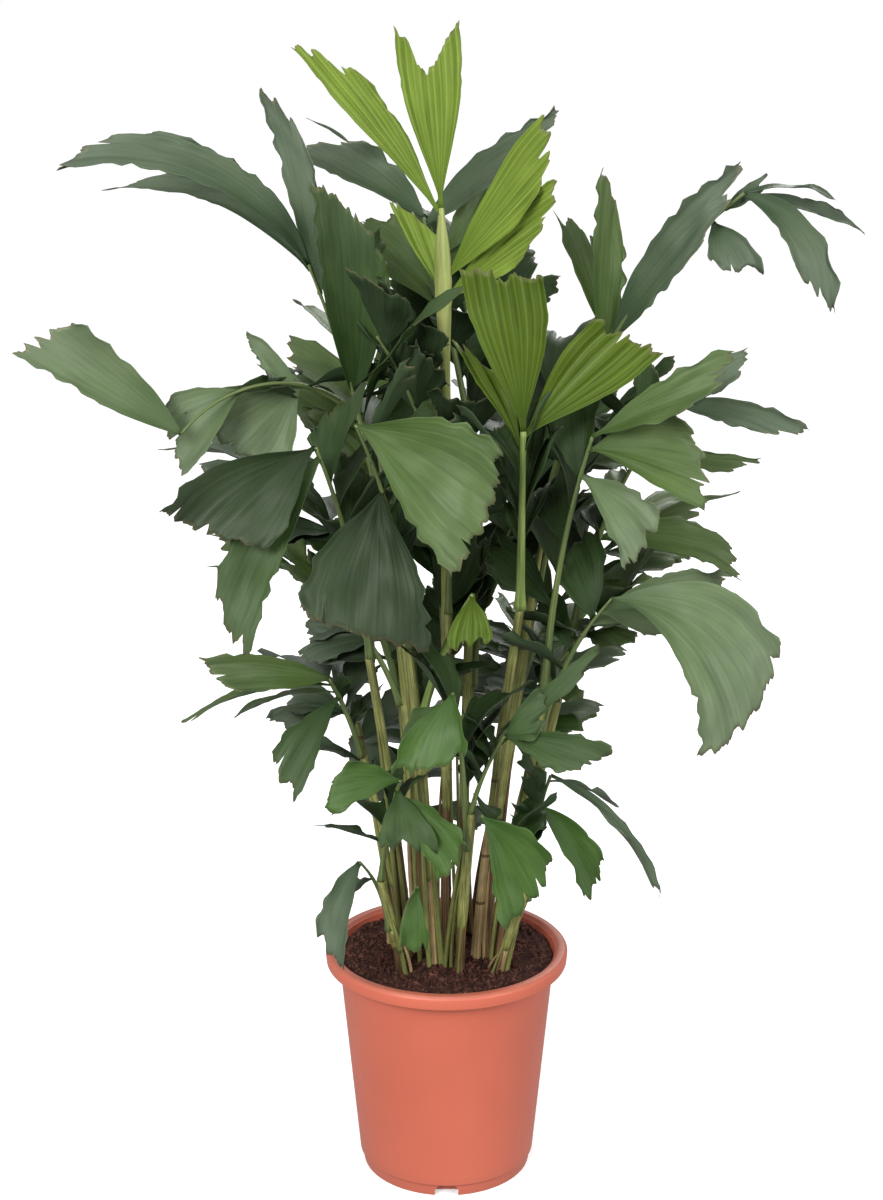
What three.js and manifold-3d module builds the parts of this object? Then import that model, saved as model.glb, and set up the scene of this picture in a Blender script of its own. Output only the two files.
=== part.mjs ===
// A potted clustering fishtail palm: a clump of slender canes in a round nursery pot. Each cane carries
// fronds whose leaflets are wedges with a torn, slanting end. Millimetres and degrees, +Z up. The origin is
// the middle of the pot's flat underside, +X is to the plant's right and +Y is away from its front.

import * as THREE from "three";
import { mergeVertices } from "three/addons/utils/BufferGeometryUtils.js";
import Module from "manifold-3d";

const wasm = await Module();
wasm.setup();
const rad = THREE.MathUtils.degToRad;

// Driving dimensions of the pot and its soil.
const POT_HEIGHT = 230;
const RIM_RADIUS = 120;
const RIM_DROP = 14;
const RIM_SKIRT = 3;
const RIM_ROUND = 4;
const LIP_INSIDE = 108;
const WALL_TOP_RADIUS = 106.4;
const WALL_FOOT_RADIUS = 87.2;
const WALL = 2;
const FOOT_RADIUS = 83.5;
const FOOT_BAND = 12;
const FLOOR = 3;
const EDGE = 1.5;
const DRAFT = 1;
const NOTCHES = 4;
const NOTCH_WIDTH = 23;
const NOTCH_HEIGHT = 12;
const NOTCH_DEPTH = 16;
const SOIL_TOP = 213;
const SOIL_FLAT = 76;
const SOIL_DIP = 4;
const POT_SEGMENTS = 32;
const GAP = 0.3;

// Driving dimensions of the canes.
const CANE_FOOT_RADIUS = 6.5;
const CANE_TIP_RADIUS = 3.8;
const FLARE = 1.5;
const FLARE_HEIGHT = 24;
const CANE_SIDES = 6;
const CANE_STEPS = 6;
const LEAN_POWER = 1.25;

// Driving dimensions of the fronds: the stalk tapers from its foot to its end, and each leaflet's blade is
// at least a hundredth of its length thick.
const STALK_FOOT = 1.8;
const STALK_FOOT_PER_LENGTH = 0.008;
const STALK_END = 1.5;
const STALK_YOUNG = 1.4;
const STALK_SIDES = 4;
const STALK_STEPS = 4;
const BLADE_LEAST = 1.4;
const BLADE_PER_LENGTH = 1 / 90;
const ROOT_HALF_WIDTH = 2.2;
const FAN_MATURE = 0.9;
const FAN_YOUNG = 1.05;
const WIDEST_AT = 0.85;
const CUP = 0.3;
const TOOTH = 0.06;
const SHORT_REACH = 0.6;
const END_CURVE = 0.85;
const FORK_REACH = 0.78;
const FORK_CURVE = 1.5;
const NARROW = 75;
const BROAD = 100;
const LONG = 150;
const DROOPING = 50;
const CLEAR = 0.4;
const ROOTS_SHARE = 150;
const SIMPLIFY = 0.05;

// The canes, from foot to tip.
const CANES = [
  { "name": "cane_01", "foot": [0, 0], "tip": [0, 5, 740] },
  { "name": "cane_02", "foot": [28, -20], "tip": [66, -90, 600] },
  { "name": "cane_03", "foot": [-22, 6], "tip": [-52, 5, 640] },
  { "name": "cane_04", "foot": [38, 12], "tip": [92, 30, 640] },
  { "name": "cane_05", "foot": [50, -18], "tip": [90, -70, 510] },
  { "name": "cane_06", "foot": [-36, -16], "tip": [-70, -80, 550] },
  { "name": "cane_07", "foot": [-12, -34], "tip": [-32, -120, 570] },
  { "name": "cane_08", "foot": [14, 30], "tip": [28, 82, 700] },
  { "name": "cane_09", "foot": [-20, 34], "tip": [-58, 96, 620] },
  { "name": "cane_10", "foot": [12, -44], "tip": [22, -110, 410] },
  { "name": "cane_11", "foot": [-46, 14], "tip": [-88, 36, 450] },
  { "name": "cane_12", "foot": [59, 18], "tip": [118, 60, 500] },
  { "name": "cane_13", "foot": [-44, -42], "tip": [-62, -90, 335] },
  { "name": "cane_14", "foot": [50, -46], "tip": [78, -92, 335] },
  { "name": "cane_15", "foot": [34, 42], "tip": [84, 110, 560] },
];

// The fronds that show from the front. A frond starts on its cane, at a share of the cane's height. Its
// stalk is an arc: turn is its heading (0 is +X, 90 is +Y), rise and length are its chord's slope and its own
// length, and sag is how far it bends down from end to end. A leaflet has a share along the stalk, turn,
// rise, length, width, droop, roll about its own line (0 is face up), and how far its end leans to one edge
// (1 left, -1 right, less for a blunter end, 0 for a terminal leaflet that forks).
const FRONDS = [
  { "name": "frond_top", "cane": 1, "at": 1,
    "turn": 225, "rise": 88, "length": 210, "sag": 0, "young": 1,
    "leaflets": [
      [1, 220, 84, 162, 58, 0, -130, 0],
      [0.97, 190, 52, 200, 40, 6, -65, 1],
      [0.68, 335, 49, 178, 50, 5, 80, 1],
      [0.6, 335, 38, 155, 44, 8, 80, 1],
      [0.62, 130, 56, 105, 30, 0, -25, 1],
    ] },
  { "name": "frond_young_front", "cane": 2, "at": 1,
    "turn": 270, "rise": 78, "length": 172, "sag": 0, "young": 1,
    "leaflets": [
      [1, 185, 81, 158, 68, 4, -92, 0.3],
      [0.97, 3, 44, 142, 62, 6, 82, -0.5],
      [0.9, 165, 60, 115, 25, 5, -50, 1],
    ] },
  { "name": "frond_upper_left", "cane": 3, "at": 0.95,
    "turn": 185, "rise": 76, "length": 290, "sag": 15,
    "leaflets": [
      [1, 190, 24, 265, 46, 75, -60, 1],
      [0.9, 150, 76, 196, 34, 12, -60, 1],
      [0.98, 150, 16, 255, 30, 60, -40, 1],
      [0.55, 255, 80, 214, 66, 10, -145, 0.8],
      [0.6, 25, 74, 140, 45, 10, 65, 1],
      [0.52, 310, 38, 205, 24, 30, 35, 1],
    ] },
  { "name": "frond_behind_top", "cane": 8, "at": 1,
    "turn": 150, "rise": 76, "length": 240, "sag": 5,
    "leaflets": [
      [1, 175, 30, 150, 50, 25, -50, 1],
      [0.97, 0, 35, 165, 46, 25, 60, 1],
      [0.75, 25, 54, 115, 50, 8, 65, 1],
      [0.6, 175, 46, 145, 85, 20, -50, 1],
      [0.95, 145, 36, 175, 20, 30, 0, 1],
    ] },
  { "name": "frond_left", "cane": 9, "at": 1,
    "turn": 214, "rise": 30, "length": 346, "sag": 148,
    "leaflets": [
      [1, 192, 37, 170, 56, 0, -68, 0.6],
      [0.6, 199, -38, 102, 106, 12, -75, -0.5],
      [0.78, 190, -38, 100, 70, 20, -65, 0.6],
      [0.62, 157, 32, 70, 24, 20, -49, -1],
    ] },
  { "name": "frond_left_front", "cane": 6, "at": 1,
    "turn": 235, "rise": 70, "length": 222, "sag": 20,
    "leaflets": [
      [1, 197, -38, 134, 92, 20, -70, -0.7],
      [0.95, 204, -60, 190, 54, 25, -60, 0.8],
    ] },
  { "name": "frond_centre", "cane": 7, "at": 1,
    "turn": 220, "rise": 74, "length": 220, "sag": 25,
    "leaflets": [
      [1, 345, -34, 156, 110, 20, 75, -0.8],
      [0.7, 252, -72, 145, 118, 20, -10, 0.5],
    ] },
  { "name": "frond_upper_right", "cane": 4, "at": 1,
    "turn": 345, "rise": 61, "length": 380, "sag": 45,
    "leaflets": [
      [0.48, 320, 87, 175, 40, 5, 150, 1],
      [0.52, 130, 64, 135, 36, 10, -40, 1],
      [0.53, 335, 49, 198, 50, 30, 80, 1],
      [0.9, 305, -52, 66, 46, 40, 35, 0.7],
      [1, 340, -58, 140, 40, 85, 50, 0.7],
      [1, 34, -7, 130, 18, 40, 20, 1],
      [0.98, 42, -14, 205, 20, 30, 50, 1],
      [0.94, 20, 28, 55, 20, 5, 50, 1],
    ] },
  { "name": "frond_right", "cane": 12, "at": 1,
    "turn": 305, "rise": 62, "length": 325, "sag": 35,
    "leaflets": [
      [1, 355, -17, 122, 32, 30, 55, 1],
      [0.98, 5, 30, 88, 30, 10, 60, 1],
      [0.8, 300, 82, 95, 34, 5, 150, 1],
      [0.75, 10, -6, 125, 24, 15, 55, 1],
      [0.45, 355, -10, 150, 48, 40, 50, -0.6],
    ] },
  { "name": "frond_right_inner", "cane": 5, "at": 1,
    "turn": 305, "rise": 76, "length": 262, "sag": 20,
    "leaflets": [
      [1, 352, 25, 140, 52, 15, 50, 1],
      [0.95, 350, -9, 118, 74, 25, 60, -1],
      [0.85, 338, -47, 100, 54, 30, 60, -0.7],
    ] },
  { "name": "frond_right_low", "cane": 5, "at": 0.85,
    "turn": 335, "rise": 65, "length": 160, "sag": 30,
    "leaflets": [
      [1, 335, -44, 205, 105, 100, 45, -1],
      [0.9, 20, -20, 90, 34, 15, 60, 1],
      [0.8, 35, 0, 180, 48, 30, 45, 1],
    ] },
  { "name": "frond_left_low", "cane": 11, "at": 0.86,
    "turn": 235, "rise": 62, "length": 105, "sag": 20,
    "leaflets": [
      [1, 185, 2, 122, 42, 20, -60, -0.8],
      [0.9, 170, -20, 170, 26, 50, 0, -1],
      [0.8, 155, -20, 135, 26, 35, 0, -1],
      [0.75, 215, -50, 112, 46, 15, -40, 0.8],
    ] },
  { "name": "frond_low_right", "cane": 10, "at": 1,
    "turn": 325, "rise": 66, "length": 90, "sag": 20,
    "leaflets": [
      [1, 350, -16, 96, 44, 20, 60, 1],
      [0.9, 20, 36, 130, 22, 15, 50, 1],
      [0.95, 10, 32, 55, 40, 10, 55, 1],
    ] },
  { "name": "frond_low_centre", "cane": 10, "at": 0.8,
    "turn": 260, "rise": 66, "length": 195, "sag": 30,
    "leaflets": [
      [1, 235, -62, 80, 62, 25, -15, -1],
      [0.9, 175, -45, 75, 38, 30, -70, 1],
    ] },
  { "name": "frond_low_left", "cane": 13, "at": 1,
    "turn": 295, "rise": 68, "length": 125, "sag": 20,
    "leaflets": [
      [1, 190, -8, 76, 44, 20, -60, 1],
      [0.9, 295, -68, 65, 55, 30, 15, 0.5],
      [0.85, 335, -46, 98, 46, 30, 60, -0.5],
    ] },
  { "name": "frond_low_front", "cane": 14, "at": 1,
    "turn": 230, "rise": 50, "length": 115, "sag": 30,
    "leaflets": [
      [1, 340, -60, 105, 68, 30, 65, -1],
    ] },
  { "name": "frond_low_edge", "cane": 14, "at": 0.8,
    "turn": 20, "rise": 80, "length": 125, "sag": 20,
    "leaflets": [
      [1, 355, -52, 170, 20, 60, 30, 1],
      [0.95, 30, -30, 100, 14, 50, 0, 1],
      [0.75, 350, -56, 108, 36, 30, 70, -0.7],
    ] },
  { "name": "frond_foot_left", "cane": 13, "at": 0.5,
    "turn": 225, "rise": 66, "length": 90, "sag": 40,
    "leaflets": [
      [1, 228, -64, 105, 34, 45, -35, 0.8],
      [0.7, 190, -30, 30, 18, 20, 0, 1],
    ] },
  { "name": "frond_foot_centre", "cane": 13, "at": 0.3,
    "turn": 290, "rise": 58, "length": 105, "sag": 40,
    "leaflets": [
      [1, 262, -68, 66, 30, 30, -15, 0.4],
    ] },
  { "name": "frond_small_front", "cane": 7, "at": 0.8,
    "turn": 310, "rise": 62, "length": 150, "sag": 20, "young": 1,
    "leaflets": [
      [1, 262, -55, 58, 40, 30, -20, -0.5],
    ] },
];

// The fronds inside the clump and behind it. Their leaflets follow one rule, in pairs up the stalk.
const REAR_FRONDS = [
  { "name": "frond_rear_01", "cane": 8, "at": 0.85, "turn": 95, "rise": 70, "length": 240, "sag": 35 },
  { "name": "frond_rear_02", "cane": 9, "at": 0.84, "turn": 105, "rise": 62, "length": 240, "sag": 30 },
  { "name": "frond_rear_03", "cane": 15, "at": 0.95, "turn": 75, "rise": 66, "length": 225, "sag": 40 },
  { "name": "frond_rear_04", "cane": 9, "at": 0.75, "turn": 150, "rise": 48, "length": 215, "sag": 50 },
  { "name": "frond_rear_05", "cane": 15, "at": 0.7, "turn": 35, "rise": 48, "length": 215, "sag": 50 },
  { "name": "frond_rear_06", "cane": 8, "at": 0.7, "turn": 85, "rise": 44, "length": 235, "sag": 50 },
  { "name": "frond_rear_07", "cane": 9, "at": 0.5, "turn": 112, "rise": 40, "length": 200, "sag": 50 },
  { "name": "frond_rear_08", "cane": 15, "at": 0.45, "turn": 80, "rise": 38, "length": 190, "sag": 50 },
  { "name": "frond_inner_left", "cane": 1, "at": 0.85, "turn": 205, "rise": 70, "length": 190, "sag": 30 },
  { "name": "frond_inner_right", "cane": 4, "at": 0.85, "turn": 350, "rise": 70, "length": 170, "sag": 30 },
  { "name": "frond_inner_middle", "cane": 8, "at": 0.55, "turn": 20, "rise": 74, "length": 190, "sag": 30 },
  { "name": "frond_inner_rear", "cane": 9, "at": 0.6, "turn": 185, "rise": 70, "length": 180, "sag": 30 },
  { "name": "frond_inner_low", "cane": 1, "at": 0.5, "turn": 100, "rise": 70, "length": 170, "sag": 30 },
  { "name": "frond_inner_front", "cane": 3, "at": 0.45, "turn": 40, "rise": 72, "length": 160, "sag": 30 },
  { "name": "frond_inner_top", "cane": 1, "at": 0.68, "turn": 285, "rise": 76, "length": 165, "sag": 25 },
  { "name": "frond_side_right", "cane": 4, "at": 0.55, "turn": 5, "rise": 50, "length": 165, "sag": 40 },
  { "name": "frond_side_left", "cane": 3, "at": 0.62, "turn": 182, "rise": 55, "length": 160, "sag": 35 },
  { "name": "frond_low_rear_right", "cane": 12, "at": 0.6, "turn": 85, "rise": 42, "length": 160, "sag": 45 },
  { "name": "frond_low_rear_left", "cane": 11, "at": 0.6, "turn": 115, "rise": 42, "length": 160, "sag": 45 },
  { "name": "frond_foot_rear", "cane": 9, "at": 0.22, "turn": 95, "rise": 35, "length": 150, "sag": 40 },
];
const REAR_SHORT = 180;
const REAR_VARY = 12;
const REAR_SIDE = {
  "first": 0.5, "last": 0.92, "spread": 50, "below": 36, "droop": 40, "roll": 20,
  "length": 0.7, "shorter": 0.24, "vary": 0.12, "width": 86, "narrower": 24,
};
const REAR_END = { "below": 15, "length": 0.55, "width": 84, "droop": 45 };
const SCATTER = 12.9;

// A leaflet that would touch another frond or a cane takes the first of these turns that leaves it clear:
// [change of turn, change of rise]. One that finds none is left out.
const SWINGS = [
  [0, 0], [8, 0], [-8, 0], [0, 8], [0, -8], [16, 0], [-16, 0], [0, 16], [0, -16],
  [12, 12], [-12, 12], [12, -12], [-12, -12], [26, 0], [-26, 0], [0, 26], [0, -26],
];

// The point and the slope of a drooping arc, at a distance along it from its start.
function arcAt(start, turn, rise, length, droop, along) {
  const first = rad(rise + droop / 2);
  const bend = rad(droop) / length;
  const slope = first - bend * along;
  const outward = droop ? (Math.sin(first) - Math.sin(slope)) / bend : along * Math.cos(first);
  const upward = droop ? (Math.cos(slope) - Math.cos(first)) / bend : along * Math.sin(first);
  const point = new THREE.Vector3(Math.cos(rad(turn)) * outward, Math.sin(rad(turn)) * outward, upward);
  return { point: point.add(start), slope };
}

// The three directions of a line that heads by turn and slope: ahead, its left hand and its upper face.
function axesAt(turn, slope, roll = 0) {
  const heading = new THREE.Vector3(Math.cos(rad(turn)), Math.sin(rad(turn)), 0);
  const ahead = heading.clone().multiplyScalar(Math.cos(slope)).add(new THREE.Vector3(0, 0, Math.sin(slope)));
  const left = new THREE.Vector3(-heading.y, heading.x, 0);
  left.applyAxisAngle(ahead, rad(roll));
  const face = ahead.clone().cross(left);
  return { ahead, left, face };
}

// Moves every vertex of a closed geometry by a rule, and gives the solid.
function shaped(geometry, place) {
  const position = geometry.getAttribute("position");
  for (let i = 0; i < position.count; i += 1) {
    const moved = place(new THREE.Vector3().fromBufferAttribute(position, i));
    position.setXYZ(i, moved.x, moved.y, moved.z);
  }
  return solid(geometry);
}

function solid(geometry) {
  geometry.deleteAttribute("normal");
  geometry.deleteAttribute("uv");
  const merged = mergeVertices(geometry, 1e-4);
  const mesh = new wasm.Mesh({
    numProp: 3,
    vertProperties: new Float32Array(merged.getAttribute("position").array),
    triVerts: new Uint32Array(merged.index.array),
  });
  return new wasm.Manifold(mesh);
}

function revolved(profile) {
  const points = profile.map(([radius, height]) => new THREE.Vector2(radius, height));
  return solid(new THREE.LatheGeometry(points, POT_SEGMENTS).rotateX(Math.PI / 2));
}

function wallRadiusAt(height) {
  const share = (height - FOOT_BAND) / (POT_HEIGHT - RIM_DROP - FOOT_BAND);
  return WALL_FOOT_RADIUS + (WALL_TOP_RADIUS - WALL_FOOT_RADIUS) * share;
}

// The drain notches, cut through the pot's foot at even turns, the first one at the front.
function cutNotches(body, grow) {
  const width = NOTCH_WIDTH + 2 * grow;
  const height = NOTCH_HEIGHT + grow;
  const depth = NOTCH_DEPTH + grow;
  let cut = body;
  for (let i = 0; i < NOTCHES; i += 1) {
    const box = new THREE.BoxGeometry(width, 2 * depth, 2 * height);
    box.translate(0, -WALL_FOOT_RADIUS, 0);
    box.rotateZ((2 * Math.PI * i) / NOTCHES);
    cut = cut.subtract(solid(box));
  }
  return cut;
}

function makePot() {
  const skirtInside = RIM_RADIUS - RIM_SKIRT;
  const skirtTop = POT_HEIGHT - RIM_SKIRT;
  const rimFoot = POT_HEIGHT - RIM_DROP;
  const shell = revolved([
    [0, 0],
    [FOOT_RADIUS - EDGE, 0],
    [FOOT_RADIUS, EDGE],
    [FOOT_RADIUS + DRAFT, FOOT_BAND - DRAFT],
    [wallRadiusAt(FOOT_BAND), FOOT_BAND + DRAFT],
    [wallRadiusAt(rimFoot), rimFoot],
    [wallRadiusAt(skirtTop), skirtTop],
    [skirtInside, skirtTop],
    [skirtInside, rimFoot],
    [RIM_RADIUS - DRAFT, rimFoot],
    [RIM_RADIUS, POT_HEIGHT - RIM_ROUND],
    [RIM_RADIUS - RIM_ROUND / 3, POT_HEIGHT - RIM_ROUND / 3],
    [RIM_RADIUS - RIM_ROUND, POT_HEIGHT],
    [LIP_INSIDE + RIM_SKIRT, POT_HEIGHT],
    [LIP_INSIDE, POT_HEIGHT - EDGE],
    [wallRadiusAt(rimFoot) - WALL, rimFoot],
    [FOOT_RADIUS - WALL, FLOOR],
    [0, FLOOR],
  ]);
  return cutNotches(shell, 0);
}

function makeSoil() {
  const edge = SOIL_TOP - SOIL_DIP;
  const fill = revolved([
    [0, FLOOR + GAP],
    [FOOT_RADIUS - WALL - GAP, FLOOR + GAP],
    [wallRadiusAt(edge) - WALL - 3 * GAP, edge],
    [SOIL_FLAT, SOIL_TOP],
    [0, SOIL_TOP],
  ]);
  return cutNotches(fill, GAP);
}

// The middle line of a cane, which stands nearly upright at its foot and leans out more and more.
function canePoint(cane, share) {
  const [footX, footY] = cane.foot;
  const [tipX, tipY, tipZ] = cane.tip;
  const lean = share ** LEAN_POWER;
  const floor = SOIL_TOP + GAP;
  return new THREE.Vector3(
    footX + (tipX - footX) * lean,
    footY + (tipY - footY) * lean,
    floor + (tipZ - floor) * share,
  );
}

function caneRadius(cane, share) {
  const height = share * (cane.tip[2] - SOIL_TOP);
  const flare = 1 + (FLARE - 1) * Math.max(0, 1 - height / FLARE_HEIGHT);
  return THREE.MathUtils.lerp(CANE_FOOT_RADIUS, CANE_TIP_RADIUS, share) * flare;
}

// A cane's rings stay level, so that its foot is cut flat on the soil. The first ring above the foot is
// where the root flare ends.
function makeCane(cane, grow = 0) {
  const height = cane.tip[2] - SOIL_TOP;
  const shareOf = (step) => (step === 1 ? FLARE_HEIGHT / height : step / CANE_STEPS);
  const geometry = new THREE.CylinderGeometry(1, 1, 1, CANE_SIDES, CANE_STEPS).rotateX(Math.PI / 2);
  return shaped(geometry, (point) => {
    const step = Math.round((point.z + 0.5) * CANE_STEPS);
    const share = shareOf(step);
    const middle = canePoint(cane, share);
    const radius = caneRadius(cane, share) + grow;
    const above = step === CANE_STEPS ? grow : 0;
    return new THREE.Vector3(middle.x + point.x * radius, middle.y + point.y * radius, middle.z + above);
  });
}

// A young frond's stalk is still wrapped in its sheath, so it is thicker.
function stalkRadius(frond, share) {
  const foot = STALK_FOOT + STALK_FOOT_PER_LENGTH * frond.length;
  return THREE.MathUtils.lerp(foot, STALK_END, share) * (frond.young ? STALK_YOUNG : 1);
}

// A frond's stalk leaves its cane at the side that it heads for.
function stalkStart(frond) {
  const cane = CANES[frond.cane - 1];
  const out = frond.at < 1 ? caneRadius(cane, frond.at) + stalkRadius(frond, 0) / 2 : 0;
  const heading = new THREE.Vector3(Math.cos(rad(frond.turn)), Math.sin(rad(frond.turn)), 0);
  return canePoint(cane, frond.at).add(heading.multiplyScalar(out));
}

function stalkAt(frond, share) {
  const { turn, rise, length, sag } = frond;
  return arcAt(stalkStart(frond), turn, rise, length, sag, share * length);
}

function makeStalk(frond) {
  const geometry = new THREE.CylinderGeometry(1, 1, 1, STALK_SIDES, STALK_STEPS);
  return shaped(geometry, (point) => {
    const share = point.y + 0.5;
    const spine = stalkAt(frond, share);
    const { left, face } = axesAt(frond.turn, spine.slope);
    const radius = stalkRadius(frond, share);
    return spine.point.addScaledVector(left, -point.x * radius).addScaledVector(face, point.z * radius);
  });
}

// How far along its length a blade reaches at a place across it (-1 right edge, 1 left edge): a leaflet's
// end is rounded up to its tail, and a forked one is cut back in its middle.
function reachAt(across, tail) {
  if (tail === 0) return FORK_REACH + (1 - FORK_REACH) * Math.abs(across) ** FORK_CURVE;
  const toTail = (across * tail + 1) / 2;
  return SHORT_REACH + (1 - SHORT_REACH) * Math.sin((Math.PI / 2) * toTail) ** END_CURVE;
}

// A flat box whose back is cut into triangles along the same diagonals as its front, so that it stays equally
// thick where it is bent.
function makeSlab(cells, steps) {
  const geometry = new THREE.BoxGeometry(1, 1, 1, cells, steps, 1);
  const { start, count } = geometry.groups.at(-1);
  for (let i = start; i < start + count; i += 6) {
    geometry.index.setX(i + 2, geometry.index.getX(i + 4));
    geometry.index.setX(i + 3, geometry.index.getX(i));
  }
  return geometry;
}

// One leaflet's blade, a wedge with a toothed end, bent down along an arc. A broader one has more teeth.
function makeBlade(frond, leaflet, swing, grow = 0) {
  const [share, turn, rise, length, width, droop, roll, tail] = leaflet;
  const spine = stalkAt(frond, share);
  const heading = turn + swing[0];
  const thickness = Math.max(BLADE_LEAST, length * BLADE_PER_LENGTH) + 2 * grow;
  const fan = frond.young ? FAN_YOUNG : FAN_MATURE;
  const cells = 2 + (width < NARROW ? 0 : 1) + (width < BROAD ? 0 : 1);
  const steps = length > LONG || droop > DROOPING ? 3 : 2;
  return shaped(makeSlab(cells, steps), (point) => {
    const across = -2 * point.x;
    const rib = Math.round((point.x + 0.5) * cells);
    const reach = reachAt(across, tail) - (rib % 2 ? TOOTH : 0);
    const outward = point.y + 0.5;
    const along = length * reach * outward + grow * (outward ? 1 : 0);
    const middle = arcAt(spine.point, heading, rise + swing[1], length, droop, along);
    const { left, face } = axesAt(heading, middle.slope, roll);
    const spread = Math.sin((Math.PI / 2) * Math.min(1, outward / WIDEST_AT)) ** fan;
    const half = Math.max(ROOT_HALF_WIDTH, (width / 2) * spread);
    const lift = CUP * half * across * across + point.z * thickness;
    return middle.point.addScaledVector(left, across * (half + grow)).addScaledVector(face, lift);
  });
}

// The rule of the rear fronds: leaflets on alternate sides up the stalk, shorter toward its end, where a
// forked one closes it. A long frond has four at its sides and a short one three.
function rearLeaflets(frond, order) {
  const count = frond.length > REAR_SHORT ? 4 : 3;
  const leaflets = [];
  for (let i = 0; i < count; i += 1) {
    const share = THREE.MathUtils.lerp(REAR_SIDE.first, REAR_SIDE.last, i / (count - 1));
    const side = (i + order) % 2 ? 1 : -1;
    const vary = Math.sin(SCATTER * (order * 5 + i + 1));
    const turn = frond.turn + side * (REAR_SIDE.spread + REAR_VARY * vary);
    const rise = frond.rise - REAR_SIDE.below + REAR_VARY * vary;
    const lengthShare = (REAR_SIDE.length - REAR_SIDE.shorter * share) * (1 + REAR_SIDE.vary * vary);
    const width = REAR_SIDE.width - REAR_SIDE.narrower * share;
    const roll = -REAR_SIDE.roll * side;
    leaflets.push([share, turn, rise, frond.length * lengthShare, width, REAR_SIDE.droop, roll, -side]);
  }
  const endRise = frond.rise - frond.sag / 2 - REAR_END.below;
  const endLength = frond.length * REAR_END.length;
  leaflets.push([1, frond.turn, endRise, endLength, REAR_END.width, REAR_END.droop, 0, 0]);
  return leaflets;
}

function boxesMeet(one, other) {
  const a = one.boundingBox();
  const b = other.boundingBox();
  return [0, 1, 2].every((axis) => a.min[axis] < b.max[axis] && b.min[axis] < a.max[axis]);
}

function touches(one, others, allowed = 0) {
  return others.some((other) => boxesMeet(one, other) && one.intersect(other).volume() > allowed + 1e-6);
}

function largestPiece(body) {
  return body.decompose().reduce((best, piece) => (piece.volume() > best.volume() ? piece : best));
}

// Every frond is fused from its stalk and the leaflets that find room. Its foot is cut clear of the cane.
function makeFronds() {
  const rear = REAR_FRONDS.map((frond, order) => ({ ...frond, leaflets: rearLeaflets(frond, order) }));
  const fronds = [...FRONDS, ...rear];
  const canes = CANES.map((cane) => makeCane(cane));
  const stalks = fronds.map((frond) => makeStalk(frond));
  const blades = fronds.map(() => []);
  fronds.forEach((frond, order) => {
    const otherStalks = stalks.filter((stalk, i) => i !== order);
    const otherBlades = () => blades.flatMap((list, i) => (i === order ? [] : list));
    for (const leaflet of frond.leaflets) {
      const others = [...canes, ...otherStalks, ...otherBlades()];
      const swing = SWINGS.find((candidate) => {
        const blade = makeBlade(frond, leaflet, candidate, CLEAR);
        return !touches(blade, others) && !touches(blade, blades[order], ROOTS_SHARE);
      });
      if (swing) blades[order].push(makeBlade(frond, leaflet, swing));
    }
  });
  return fronds.map((frond, order) => {
    const cane = CANES[frond.cane - 1];
    const whole = wasm.Manifold.union([stalks[order], ...blades[order]]);
    return { frond, body: largestPiece(whole.subtract(makeCane(cane, GAP)).simplify(SIMPLIFY)) };
  });
}

function meshOf(name, body, material) {
  const { vertProperties, triVerts } = body.getMesh();
  const geometry = new THREE.BufferGeometry();
  geometry.setAttribute("position", new THREE.BufferAttribute(vertProperties, 3));
  geometry.setIndex(new THREE.BufferAttribute(triVerts, 1));
  const mesh = new THREE.Mesh(geometry, material);
  mesh.name = name;
  return mesh;
}

const potPlastic = new THREE.MeshStandardMaterial({ color: 0xc9664a, roughness: 0.55, metalness: 0 });
const pottingSoil = new THREE.MeshStandardMaterial({ color: 0x43302b, roughness: 0.95, metalness: 0 });
const caneBark = new THREE.MeshStandardMaterial({ color: 0x8a6a3f, roughness: 0.8, metalness: 0 });
const matureLeaf = new THREE.MeshStandardMaterial({ color: 0x3c5a3c, roughness: 0.45, metalness: 0 });
const youngLeaf = new THREE.MeshStandardMaterial({ color: 0x8fb63c, roughness: 0.5, metalness: 0 });

const palm = new THREE.Group();
palm.add(meshOf("pot", makePot(), potPlastic));
palm.add(meshOf("soil", makeSoil(), pottingSoil));
for (const cane of CANES) palm.add(meshOf(cane.name, makeCane(cane), caneBark));
for (const { frond, body } of makeFronds()) {
  palm.add(meshOf(frond.name, body, frond.young ? youngLeaf : matureLeaf));
}

export default palm;
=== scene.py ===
import math
import random

import bmesh
import bpy
from mathutils import Matrix, Quaternion, Vector, noise
from mathutils.bvhtree import BVHTree


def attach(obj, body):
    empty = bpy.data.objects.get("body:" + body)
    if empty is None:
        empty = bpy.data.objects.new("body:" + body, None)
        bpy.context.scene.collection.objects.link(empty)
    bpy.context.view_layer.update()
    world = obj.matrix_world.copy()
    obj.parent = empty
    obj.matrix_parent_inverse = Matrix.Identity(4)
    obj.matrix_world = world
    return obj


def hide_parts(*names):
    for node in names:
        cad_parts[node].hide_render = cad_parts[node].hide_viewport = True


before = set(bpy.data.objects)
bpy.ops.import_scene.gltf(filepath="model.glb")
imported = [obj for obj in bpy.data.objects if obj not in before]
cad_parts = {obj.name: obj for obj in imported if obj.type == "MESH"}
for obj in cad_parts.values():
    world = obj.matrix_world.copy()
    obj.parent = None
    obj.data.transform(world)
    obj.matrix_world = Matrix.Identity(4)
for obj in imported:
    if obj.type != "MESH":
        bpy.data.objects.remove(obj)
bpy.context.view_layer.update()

# The pot. A round nursery pot, injection-moulded in terracotta-coloured plastic with a satin skin. Its lip
# turns down outside the wall, the foot steps in, and four drain notches are moulded through the foot. The
# top of the lip is darkened in patches as painted shade, and the pot is darker in patches towards its foot.
MM = 0.001
POT_HEIGHT = 230
RIM_RADIUS = 120
RIM_DROP = 14
RIM_SKIRT = 3
RIM_TAPER = 1
LIP_INSIDE = 108
WALL_TOP_RADIUS = 106.4
WALL_FOOT_RADIUS = 87.2
WALL = 2
FOOT_RADIUS = 83.5
FOOT_BAND = 12
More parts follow.
